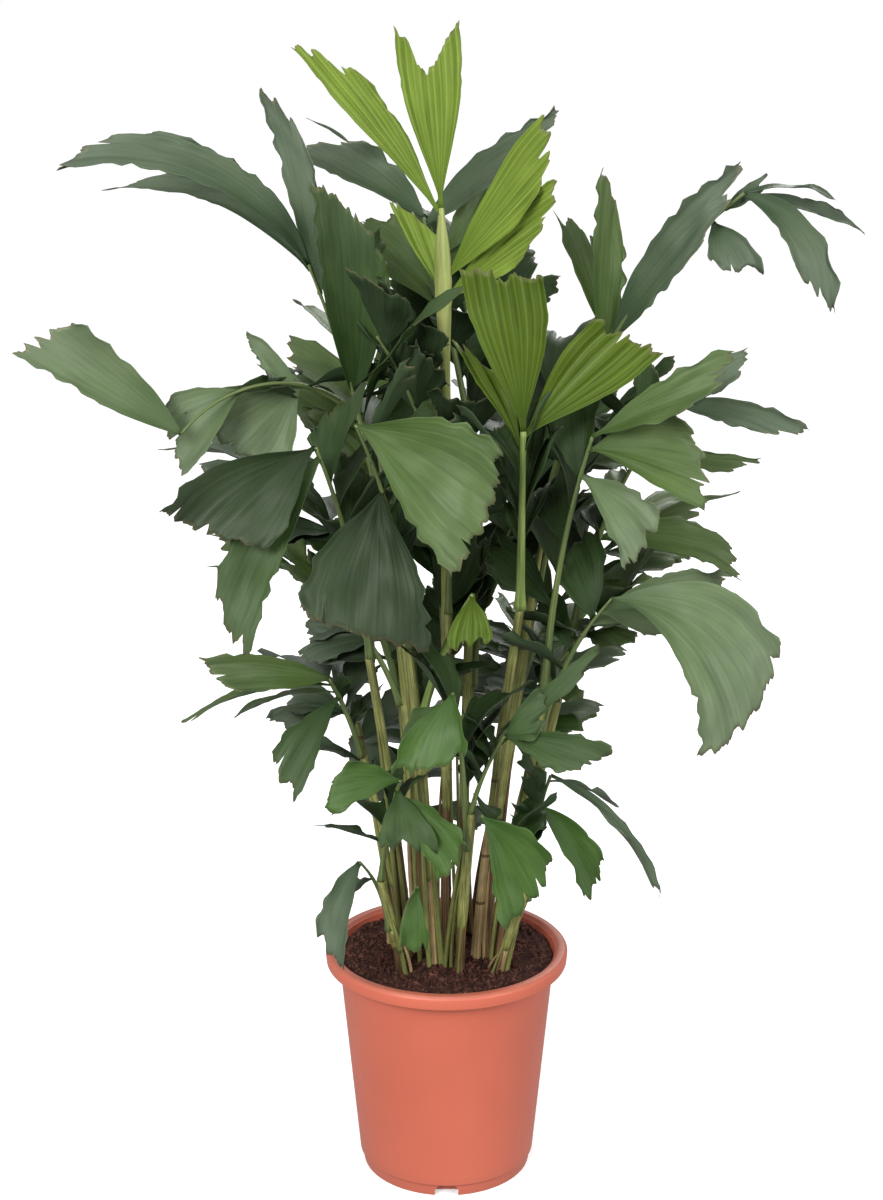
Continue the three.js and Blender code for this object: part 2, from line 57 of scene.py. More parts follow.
FOOT_STEP = 1
FLOOR = 3
GROOVE_BELOW_RIM = 9
GROOVE_HALF_WIDTH = 2
GROOVE = 0.5
MOULD_RADIUS = 1.1
NOTCHES = 4
NOTCH_WIDTH = 23
NOTCH_HEIGHT = 12
NOTCH_DEPTH = 16
NOTCH_ARCH = 0.6
POT_STEPS = 192
SHARP = math.radians(25)
POT_SHARP = math.radians(35)
POT_COLOUR = (0.690, 0.156, 0.090)
POT_SHADE = (0.640, 0.142, 0.080)
# Painted shade: a darker red laid in patches on the top of the lip, and also used to darken the foot.
LIP_SHADE_AND_FOOT_RED = (0.290, 0.110, 0.072)
LIP_PAINTED_SHADE = 0.55
FOOT_DARKENING = 0.22
LIP_SHADE_BAND = 4


def make_material(name, colour, roughness, specular):
    """A material whose surface is one plain colour, until nodes are added to it."""
    material = bpy.data.materials.new(name)
    material.use_nodes = True
    shader = material.node_tree.nodes["Principled BSDF"]
    shader.inputs["Base Color"].default_value = (*colour, 1)
    shader.inputs["Roughness"].default_value = roughness
    shader.inputs["Specular IOR Level"].default_value = specular
    return material


def add_node(material, kind, inputs=None, **settings):
    """A node whose inputs are numbers or other nodes' outputs."""
    tree = material.node_tree
    node = tree.nodes.new(kind)
    for key, value in settings.items():
        setattr(node, key, value)
    for key, value in (inputs or {}).items():
        if isinstance(value, bpy.types.NodeSocket):
            tree.links.new(value, node.inputs[key])
        else:
            node.inputs[key].default_value = value
    return node


def join_shader(material, name, socket):
    material.node_tree.links.new(socket, material.node_tree.nodes["Principled BSDF"].inputs[name])


def object_place(material):
    return add_node(material, "ShaderNodeTexCoord").outputs["Object"]


def surface_place(material, across, along):
    """The piece's own UV map, stretched across the surface and along it."""
    place = add_node(material, "ShaderNodeUVMap", uv_map="UVMap")
    settings = {"Vector": place.outputs["UV"], "Scale": (across, along, 1.0)}
    return add_node(material, "ShaderNodeMapping", settings).outputs["Vector"]


def noise_of(material, place, scale, detail=3.0, rough=0.55):
    settings = {"Vector": place, "Scale": scale, "Detail": detail, "Roughness": rough}
    return add_node(material, "ShaderNodeTexNoise", settings).outputs["Fac"]


def ramp(material, factor, stops):
    """A colour ramp with (place, colour) stops."""
    node = add_node(material, "ShaderNodeValToRGB", {"Fac": factor})
    band = node.color_ramp
    band.elements[0].position, band.elements[0].color = stops[0][0], (*stops[0][1], 1)
    band.elements[1].position, band.elements[1].color = stops[-1][0], (*stops[-1][1], 1)
    for place, colour in stops[1:-1]:
        band.elements.new(place).color = (*colour, 1)
    return node.outputs["Color"]


def mix_colours(material, factor, one, other, blend="MIX"):
    inputs = {0: factor, 6: one, 7: other}
    return add_node(material, "ShaderNodeMix", inputs, data_type="RGBA", blend_type=blend).outputs[2]


def spread(material, factor, low, high, start=0, end=1):
    """Maps a value between start and end onto a range."""
    limits = {"Value": factor, "From Min": start, "From Max": end, "To Min": low, "To Max": high}
    return add_node(material, "ShaderNodeMapRange", limits).outputs["Result"]


def calculate(material, operation, one, other):
    """A sum or a product of two values, kept between 0 and 1."""
    inputs = {0: one, 1: other}
    return add_node(material, "ShaderNodeMath", inputs, operation=operation, use_clamp=True).outputs[0]


def bump(material, height, depth_mm, strength=1.0, under=None):
    """Relief of a given depth, laid over another relief where one is named."""
    inputs = {"Height": height, "Distance": depth_mm * MM, "Strength": strength}
    if under:
        inputs["Normal"] = under
    return add_node(material, "ShaderNodeBump", inputs).outputs["Normal"]


def link_object(name, data):
    thing = bpy.data.objects.new(name, data)
    bpy.context.scene.collection.objects.link(thing)
    return thing


def mesh_of(name, bm):
    """Turns a shape in millimetres into a mesh in metres."""
    bm.transform(Matrix.Scale(MM, 4))
    mesh = bpy.data.meshes.new(name)
    bm.to_mesh(mesh)
    bm.free()
    return mesh


def make_piece(name, bm, materials, slot, nodes=()):
    """Turns a shape into a piece of the object that rides with it and replaces solids of the frame."""
    mesh = mesh_of(name, bm)
    for material in materials:
        mesh.materials.append(material)
    mesh.shade_smooth()
    piece = link_object(name, mesh)
    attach(piece, "root")
    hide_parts(*nodes)
    return piece


def revolve(bm, outline, steps):
    """Turns an outline of (radius, height) points about the upright axis into a closed skin."""
    points = [bm.verts.new((radius, 0, height)) for radius, height in outline]
    lines = [bm.edges.new(pair) for pair in zip(points, points[1:])]
    bmesh.ops.spin(bm, geom=points + lines, cent=(0, 0, 0), axis=(0, 0, 1), angle=2 * math.pi,
                   steps=steps, use_merge=True, use_duplicate=False)
    bmesh.ops.remove_doubles(bm, verts=bm.verts, dist=1e-3)
    bmesh.ops.recalc_face_normals(bm, faces=bm.faces)


def wall_radius_at(height):
    share = (height - FOOT_BAND) / (POT_HEIGHT - RIM_DROP - FOOT_BAND)
    return WALL_FOOT_RADIUS + (WALL_TOP_RADIUS - WALL_FOOT_RADIUS) * share


def pot_outline():
    """The pot's section, from the middle of its underside up the outside and down the inside."""
    rim_foot = POT_HEIGHT - RIM_DROP
    skirt_inside = RIM_RADIUS - RIM_SKIRT
    skirt_top = POT_HEIGHT - RIM_SKIRT
    groove = rim_foot - GROOVE_BELOW_RIM
    groove_foot = groove - GROOVE_HALF_WIDTH
    return [
        (0, 0),
        (FOOT_RADIUS, 0),
        (FOOT_RADIUS + FOOT_STEP, FOOT_BAND - FOOT_STEP),
        (wall_radius_at(FOOT_BAND), FOOT_BAND + FOOT_STEP),
        (wall_radius_at(groove_foot), groove_foot),
        (wall_radius_at(groove) + GROOVE, groove),
        (wall_radius_at(rim_foot), rim_foot),
        (wall_radius_at(skirt_top), skirt_top),
        (skirt_inside, skirt_top),
        (skirt_inside, rim_foot),
        (RIM_RADIUS - RIM_TAPER, rim_foot),
        (RIM_RADIUS, skirt_top),
        (skirt_inside, POT_HEIGHT),
        (LIP_INSIDE + RIM_SKIRT, POT_HEIGHT),
        (LIP_INSIDE, skirt_top),
        (wall_radius_at(rim_foot) - WALL, rim_foot),
        (FOOT_RADIUS - WALL, FLOOR),
        (0, FLOOR),
    ]


def round_sharp_rings(bm):
    """Rounds every ring edge that turns sharply, as a moulded edge is rounded."""
    rings = [edge for edge in bm.edges
             if abs(edge.verts[0].co.z - edge.verts[1].co.z) < 1e-4
             and len(edge.link_faces) == 2 and edge.calc_face_angle(0) > SHARP]
    bmesh.ops.bevel(bm, geom=rings, offset=MOULD_RADIUS, offset_type="OFFSET", segments=3, profile=0.5,
                    affect="EDGES", material=-1, clamp_overlap=True)


def pot_material():
    """Slightly clouded, scuffed plastic, with patchy painted shade on top of the lip and darker near the
    foot.
    """
    material = make_material("terracotta_plastic", POT_COLOUR, 0.42, 0.6)
    place = object_place(material)
    cloud = noise_of(material, place, scale=9.0, detail=2.0)
    plastic = ramp(material, cloud, [(0.35, POT_SHADE), (0.65, POT_COLOUR)])
    height = add_node(material, "ShaderNodeSeparateXYZ", {"Vector": place}).outputs["Z"]
    patchiness = noise_of(material, place, scale=85.0, detail=5.0, rough=0.7)
    # Painted shade on the top of the lip, and a darker band at the foot, both in patches.
    lip = spread(material, height, 0, LIP_PAINTED_SHADE, (POT_HEIGHT - LIP_SHADE_BAND) * MM, POT_HEIGHT * MM)
    foot = spread(material, height, FOOT_DARKENING, 0, 0, 2 * FOOT_BAND * MM)
    lip_shade_and_foot_dark = calculate(material, "ADD", lip, foot)
    patchy = calculate(material, "MULTIPLY", lip_shade_and_foot_dark, spread(material, patchiness, 0.4, 1.6))
    join_shader(material, "Base Color", mix_colours(material, patchy, plastic, (*LIP_SHADE_AND_FOOT_RED, 1)))
    join_shader(material, "Roughness", spread(material, noise_of(material, place, 60.0), 0.36, 0.50))
    grain = bump(material, noise_of(material, place, 900.0, 2.0), 0.05, 0.35)
    join_shader(material, "Normal", bump(material, noise_of(material, place, 30.0, 2.0), 0.25, 0.25, grain))
    return material


def cut_drain_notches(pot):
    """Cuts an arched notch through the foot at each quarter, the first one at the front."""
    bm = bmesh.new()
    for quarter in range(NOTCHES):
        made = bmesh.ops.create_cube(bm, size=1)
        turn = Matrix.Rotation(2 * math.pi * quarter / NOTCHES, 4, "Z")
        size = Matrix.Diagonal((NOTCH_WIDTH, 2 * NOTCH_DEPTH, 2 * NOTCH_HEIGHT, 1))
        place = turn @ Matrix.Translation((0, -WALL_FOOT_RADIUS, 0)) @ size
        bmesh.ops.transform(bm, matrix=place, verts=made["verts"])
    # The upper edges that run in through the wall are rounded.
    upper = [edge for edge in bm.edges if all(vert.co.z > 0 for vert in edge.verts)
             and abs(edge.verts[0].co.xy.length - edge.verts[1].co.xy.length) > 1]
    bmesh.ops.bevel(bm, geom=upper, offset=NOTCH_HEIGHT * NOTCH_ARCH, segments=6, profile=0.5,
                    affect="EDGES", material=-1)
    cutter = link_object("notch_cutter", mesh_of("notch_cutter", bm))
    cut = pot.modifiers.new("notches", "BOOLEAN")
    cut.operation = "DIFFERENCE"
    cut.solver = "EXACT"
    cut.object = cutter
    bpy.context.view_layer.update()
    whole = bpy.data.meshes.new_from_object(pot.evaluated_get(bpy.context.evaluated_depsgraph_get()))
    pot.modifiers.clear()
    pot.data = whole
    whole.name = pot.name
    bpy.data.objects.remove(cutter)


bm = bmesh.new()
revolve(bm, pot_outline(), POT_STEPS)
round_sharp_rings(bm)
pot = make_piece("pot_shell", bm, [pot_material()], "pot_plastic", ["pot"])
cut_drain_notches(pot)
pot.data.set_sharp_from_angle(angle=POT_SHARP)

# The soil. Dark coir and peat compost that fills the pot to just under its lip. Its top is lumpy, with loose
# crumbs and short coir fibres lying on it.
SOIL_TOP = 213
SOIL_INTO_WALL = 0.4
SOIL_RADIUS = wall_radius_at(SOIL_TOP) - WALL + SOIL_INTO_WALL
SOIL_DEPTH = 40
SOIL_FOOT_INSET = 3
SOIL_RINGS = 84
SOIL_SPOKES = 300
SOIL_RAISED = 10
SOIL_MOUND = 5
SOIL_MOUND_SIZE = 48
SOIL_EDGE_DROP = 5
SOIL_EDGE_FROM = 0.72
SOIL_LUMP = 3.2
SOIL_LUMP_SIZE = 26
SOIL_GRAIN = 1.5
SOIL_GRAIN_SIZE = 5
SOIL_GRAIN_LAYER = 40
SOIL_PIT_SIZE = 2.2
SOIL_PIT_LAYER = 80
CRUMBS = 1700
CRUMB_SIZE = (1.0, 4.6)
CRUMB_SMALLER = (0.5, 1)
CRUMB_FLATTER = (0.35, 0.8)
CRUMB_RAISED = 0.2
CRUMBS_WITHIN = 0.97
FIBRES = 420
FIBRE_LENGTH = (6, 22)
FIBRE_RADIUS = 0.32
FIBRE_TAPER = 0.4
FIBRE_TILT = 14
FIBRE_RAISED = 0.8
FIBRES_WITHIN = 0.93
SOIL_COLOURS = ((0.013, 0.005, 0.004), (0.044, 0.015, 0.011), (0.108, 0.042, 0.030))
CRUMB_COLOURS = ((0.020, 0.008, 0.006), (0.080, 0.031, 0.022), (0.23, 0.105, 0.072))
FIBRE_COLOURS = ((0.05, 0.018, 0.012), (0.15, 0.056, 0.034), (0.30, 0.14, 0.085))
SOIL_STOPS = (0.32, 0.52, 0.74)


def soil_height(x, y):
    """The height of the soil's lumpy top, which is mounded in the middle and drops along the wall."""
    lump = noise.noise(Vector((x, y, 0)) / SOIL_LUMP_SIZE)
    grain = noise.noise(Vector((x, y, SOIL_GRAIN_LAYER)) / SOIL_GRAIN_SIZE)
    pit = abs(noise.noise(Vector((x, y, SOIL_PIT_LAYER)) / SOIL_PIT_SIZE))
    out = math.hypot(x, y)
    edge = SOIL_EDGE_DROP * max(0, out / SOIL_RADIUS - SOIL_EDGE_FROM)
    mound = SOIL_MOUND * math.exp(-((out / SOIL_MOUND_SIZE) ** 2))
    rough = SOIL_LUMP * lump + SOIL_GRAIN * grain + SOIL_GRAIN * pit
    return SOIL_TOP + SOIL_RAISED + mound - edge + rough


def soil_material(name, colours):
    material = make_material(name, colours[1], 0.93, 0.25)
    place = object_place(material)
    patch = noise_of(material, place, scale=130.0, detail=6.0, rough=0.7)
    join_shader(material, "Base Color", ramp(material, patch, list(zip(SOIL_STOPS, colours))))
    grit = noise_of(material, place, scale=420.0, detail=6.0, rough=0.7)
    join_shader(material, "Normal", bump(material, grit, 1.2, 0.9))
    return material


def add_soil(bm):
    steps = [(SOIL_RADIUS * (ring / SOIL_RINGS), SOIL_TOP) for ring in range(SOIL_RINGS + 1)]
    foot = SOIL_TOP - SOIL_DEPTH
    revolve(bm, [*steps, (SOIL_RADIUS - SOIL_FOOT_INSET, foot), (0, foot)], SOIL_SPOKES)
    for vert in bm.verts:
        if vert.co.z > SOIL_TOP - 1:
            vert.co.z = soil_height(vert.co.x, vert.co.y)


def soil_spot(draw, reach):
    turn = draw.uniform(0, 2 * math.pi)
    out = SOIL_RADIUS * reach * math.sqrt(draw.random())
    return out * math.cos(turn), out * math.sin(turn)


def random_turn(draw):
    turn = Matrix.Identity(4)
    for axis in "XYZ":
        turn = turn @ Matrix.Rotation(draw.uniform(0, 2 * math.pi), 4, axis)
    return turn


def add_crumbs(bm, draw):
    for _ in range(CRUMBS):
        x, y = soil_spot(draw, CRUMBS_WITHIN)
        size = draw.uniform(*CRUMB_SIZE) * draw.uniform(*CRUMB_SMALLER)
        sides = size, size * draw.uniform(*CRUMB_SMALLER), size * draw.uniform(*CRUMB_FLATTER)
        lie = random_turn(draw) @ Matrix.Diagonal((*sides, 1))
        place = Matrix.Translation((x, y, soil_height(x, y) + size * CRUMB_RAISED)) @ lie
        bmesh.ops.create_icosphere(bm, subdivisions=1, radius=1, matrix=place)


def add_fibres(bm, draw):
    for _ in range(FIBRES):
        x, y = soil_spot(draw, FIBRES_WITHIN)
        length = draw.uniform(*FIBRE_LENGTH)
        heading = Matrix.Rotation(draw.uniform(0, math.pi), 4, "Z")
        lie = heading @ Matrix.Rotation(math.radians(90 + draw.uniform(-FIBRE_TILT, FIBRE_TILT)), 4, "X")
        place = Matrix.Translation((x, y, soil_height(x, y) + FIBRE_RAISED)) @ lie
        bmesh.ops.create_cone(bm, segments=4, radius1=FIBRE_RADIUS, radius2=FIBRE_RADIUS * FIBRE_TAPER,
                              depth=length, cap_ends=True, matrix=place)


bm = bmesh.new()
add_soil(bm)
make_piece("soil_top", bm, [soil_material("coir_compost", SOIL_COLOURS)], "potting_soil", ["soil"])
soil_draw = random.Random(7)
bm = bmesh.new()
add_crumbs(bm, soil_draw)
crumbs = make_piece("soil_crumbs", bm, [soil_material("bark_crumbs", CRUMB_COLOURS)], "potting_soil")
crumbs.data.set_sharp_from_angle(angle=SHARP)
bm = bmesh.new()
add_fibres(bm, soil_draw)
make_piece("soil_fibres", bm, [soil_material("coir_fibre", FIBRE_COLOURS)], "potting_soil")

# The canes. Fifteen slender ringed canes rise from one rootstock, nearly upright at the soil and leaning out
# above, with thin shoots and old stalks close beside them. The bark is brown with straw-coloured streaks low
# down, and green where the sheaths have just gone.
CANE_FOOT_RADIUS = 6.5
CANE_TIP_RADIUS = 3.8
CANE_ABOVE_SOIL = 0.3
FLARE = 1.5
FLARE_HEIGHT = 24
LEAN_POWER = 1.25
CANE_SUNK = 9
CANE_SIDES = 18
CANE_STEP = 3.2
CANE_SLIMMER = 0.72
SCENE_FLARE = 0.7
GREEN_FROM = (0.35, 0.6)
SHOOTS = 4
SHOOT_RADIUS = (1.6, 2.9)
SHOOT_APART = (7, 15)
SHOOT_REACH = (0.25, 0.95)
SHOOT_GREEN_FROM = 0.55
SHOOT_PRESSED = 0.4
SHOOT_BOW = 4
SHOOT_TAPER = 0.3
SHOOT_TIP = 0.6
SHOOT_RIDGE = 0.2
SHOOT_SIDES = 10
SHOOT_STEP = 9
FIRST_RING = (8, 16)
RING_STEP = 62
RING_STEP_VARY = (0.7, 1.3)
RINGS_BELOW_TIP = 10
RING_WIDTH = 0.9
RING_RISE = 0.28
RING_SWELL = 0.2
RING_SWELL_WIDTH = 9
FLUTES = (4, 5, 6)
FLUTE = 0.26
FLUTE_WIND = 60
BARKS = {
    "brown_bark": [(0.30, (0.045, 0.024, 0.012)), (0.48, (0.15, 0.082, 0.038)), (0.66, (0.40, 0.26, 0.12))],
    "straw_bark": [(0.30, (0.12, 0.062, 0.026)), (0.44, (0.36, 0.24, 0.10)), (0.62, (0.66, 0.52, 0.27))],
    "green_bark": [(0.30, (0.060, 0.062, 0.016)), (0.48, (0.19, 0.21, 0.055)), (0.66, (0.42, 0.45, 0.15))],
}
BROWN, STRAW, GREEN = range(3)
RING_SCAR = len(BARKS)
RING_BARK = [(0.30, (0.060, 0.034, 0.017)), (0.50, (0.15, 0.092, 0.044)), (0.70, (0.33, 0.23, 0.11))]
# Where each cane stands on the soil, as x and y, and where its tip is, as x, y and z.
CANE_PLACES = [
    (0, 0, 0, 5, 740), (28, -20, 66, -90, 600), (-22, 6, -52, 5, 640),
    (38, 12, 92, 30, 640), (50, -18, 90, -70, 510), (-36, -16, -70, -80, 550),
    (-12, -34, -32, -120, 570), (14, 30, 28, 82, 700), (-20, 34, -58, 96, 620),
    (12, -44, 22, -110, 410), (-46, 14, -88, 36, 450), (59, 18, 118, 60, 500),
    (-44, -42, -62, -90, 335), (50, -46, 78, -92, 335), (34, 42, 84, 110, 560),
]
CANES = [{"name": f"cane_{number:02d}", "foot": place[:2], "tip": place[2:]}
         for number, place in enumerate(CANE_PLACES, 1)]


def outward_at(angle):
    return Vector((math.cos(angle), math.sin(angle), 0))


def cane_point(cane, share):
    """The middle line of a cane, which stands nearly upright at its foot and leans out more and more."""
    foot_x, foot_y = cane["foot"]
    tip_x, tip_y, tip_z = cane["tip"]
    lean = max(0, share) ** LEAN_POWER
    floor = SOIL_TOP + CANE_ABOVE_SOIL
    return Vector((foot_x + (tip_x - foot_x) * lean, foot_y + (tip_y - foot_y) * lean,
                   floor + (tip_z - floor) * share))


def cane_height(cane):
    return cane["tip"][2] - SOIL_TOP


def cane_radius(cane, share):
    """The radius of the cane's solid, which flares at its foot."""
    flare = 1 + (FLARE - 1) * min(1, max(0, 1 - share * cane_height(cane) / FLARE_HEIGHT))
    return (CANE_FOOT_RADIUS + (CANE_TIP_RADIUS - CANE_FOOT_RADIUS) * share) * flare


def faces_of(grid):
    """The faces of a new grid, always in the same order."""
    return list(dict.fromkeys(face for vert in grid["verts"] for face in vert.link_faces))


def add_tube(bm, sides, steps, place, material_of=None):
    """Wraps a grid into a closed tube. place(share, angle) gives a point of its skin."""
    grid = bmesh.ops.create_grid(bm, x_segments=sides, y_segments=steps, size=0.5, calc_uvs=True)
    faces = faces_of(grid)
    for face in faces:
        if material_of:
            face.material_index = material_of(face.calc_center_median().y + 0.5)
    for vert in grid["verts"]:
        vert.co = place(vert.co.y + 0.5, 2 * math.pi * vert.co.x)
    bmesh.ops.remove_doubles(bm, verts=grid["verts"], dist=1e-3)
    rims = [edge for face in faces if face.is_valid for edge in face.edges if edge.is_boundary]
    bmesh.ops.holes_fill(bm, edges=list(dict.fromkeys(rims)), sides=0)


def ring_heights(cane, draw):
    """The heights of a cane's ring scars above its foot."""
    height = draw.uniform(*FIRST_RING)
    heights = []
    while height < cane_height(cane) - RINGS_BELOW_TIP:
        heights.append(height)
        height += RING_STEP * draw.uniform(*RING_STEP_VARY)
    return heights


def add_cane(bm, cane, draw):
    """A round cane with ring scars, slight flutes and a flared foot that is sunk in the soil."""
    top = cane_height(cane)
    rings = ring_heights(cane, draw)
    start = -CANE_SUNK / top
    phase = draw.uniform(0, 2 * math.pi)
    flutes = draw.choice(FLUTES)
    low_bark = draw.choice((BROWN, BROWN, STRAW))
    green_from = draw.uniform(*GREEN_FROM)

    def nearest_ring(height):
        return min(abs(height - ring) for ring in rings)

    def place(step_share, angle):
        share = start + (1 - start) * step_share
        height = share * top
        gap = nearest_ring(height)
        ring = RING_RISE * math.exp(-((gap / RING_WIDTH) ** 2))
        swell = RING_SWELL * math.exp(-((gap / RING_SWELL_WIDTH) ** 2))
        flute = FLUTE * math.sin(flutes * angle + phase + height / FLUTE_WIND)
        flare = 1 - (1 - SCENE_FLARE) * max(0, 1 - max(0, height) / FLARE_HEIGHT)
        radius = CANE_SLIMMER * cane_radius(cane, max(0, share)) * flare + ring + swell + flute
        return cane_point(cane, share) + outward_at(angle) * radius

    def material_of(step_share):
        share = start + (1 - start) * step_share
        if nearest_ring(share * top) < RING_WIDTH:
            return RING_SCAR
        return low_bark if share < green_from else GREEN

    add_tube(bm, CANE_SIDES, round(top / CANE_STEP), place, material_of)


def add_shoot(bm, cane, draw):
    """A thin shoot or old stalk that rises beside a cane and leans against it higher up."""
    top = cane_height(cane)
    start = -CANE_SUNK / top
    side = draw.uniform(0, 2 * math.pi)
    apart = draw.uniform(*SHOOT_APART)
    reach = draw.uniform(*SHOOT_REACH)
    thick = draw.uniform(*SHOOT_RADIUS)
    bark = GREEN if reach > SHOOT_GREEN_FROM else draw.choice((BROWN, STRAW))
    touching = CANE_SLIMMER * cane_radius(cane, reach) + thick * SHOOT_PRESSED
    bow = draw.uniform(-SHOOT_BOW, SHOOT_BOW)

    def place(step_share, angle):
        share = start + (reach - start) * step_share
        gap = apart + (touching - apart) * step_share + bow * math.sin(math.pi * step_share)
        middle = cane_point(cane, share) + outward_at(side) * gap
        narrower = 1 - SHOOT_TAPER * step_share - SHOOT_TIP * step_share ** 12
        return middle + outward_at(angle) * (thick * narrower + SHOOT_RIDGE * math.sin(3 * angle))

    add_tube(bm, SHOOT_SIDES, max(8, round(reach * top / SHOOT_STEP)), place, lambda share: bark)


def bark_material(name, stops, roughness=0.62):
    """Bark with streaks along the cane and darker patches."""
    material = make_material(name, stops[1][1], roughness, 0.35)
    streak = noise_of(material, surface_place(material, 11.0, 1.1), scale=2.4, detail=5.0, rough=0.65)
    colour = ramp(material, streak, stops)
    patch = noise_of(material, object_place(material), scale=26.0)
    dark = ramp(material, patch, [(0.35, (0.62, 0.60, 0.60)), (0.6, (1, 1, 1))])
    join_shader(material, "Base Color", mix_colours(material, 1.0, colour, dark, "MULTIPLY"))
    fine = noise_of(material, surface_place(material, 26.0, 4.0), scale=3.0, detail=4.0, rough=0.6)
    join_shader(material, "Normal", bump(material, fine, 0.5, 0.7))
    return material


def new_shape():
    """An empty shape whose grids keep their own UV map."""
    bm = bmesh.new()
    bm.loops.layers.uv.new("UVMap")
    return bm


bark_materials = [bark_material(name, stops) for name, stops in BARKS.items()]
bark_materials.append(bark_material("ring_scar", RING_BARK, 0.8))
bm = new_shape()
cane_draw = random.Random(11)
for cane in CANES:
    add_cane(bm, cane, cane_draw)
    for _ in range(SHOOTS):
        add_shoot(bm, cane, cane_draw)
make_piece("canes", bm, bark_materials, "cane_bark", [cane["name"] for cane in CANES])

# The fronds' stalks and sheaths. Each frond has a green stalk that leaves its cane at a sheath, arches out
# and tapers to the last leaflet. The sheath wraps the cane below it. The top stalk is pale and swollen,
# because the next frond is still inside it.
STALK_FOOT = 1.8
STALK_FOOT_PER_LENGTH = 0.008
STALK_END = 1.5
STALK_YOUNG = 1.4
STALK_SIDES = 12
STALK_STEP = 6
STALK_CHANNEL = 0.75
CHANNEL_BELOW_LEAFLET = 0.05
JOINT_SWELL = 0.22
JOINT_LENGTH = 5
FOOT_SWELL = 0.42
FOOT_SHARE = 0.16
TOP_SWELL = 2.1
TOP_SWELL_RISE = 2.6
TOP_SWELL_TAPER = 1.2
SHEATH_LENGTH = (150, 340)
SHEATH_THICK = 1.2
SHEATH_CLEAR = 0.1
SHEATH_LOWEST = 0.3
SHEATH_SHORTEST = 0.1
SHEATH_LEAN = 1.6
SHEATH_GROWS = 5
SHEATH_RIDGE = 0.2
SHEATH_RIDGES = 9
SHEATH_STEP = 7
YOUNG_FRONDS = ("frond_top", "frond_young_front", "frond_small_front")
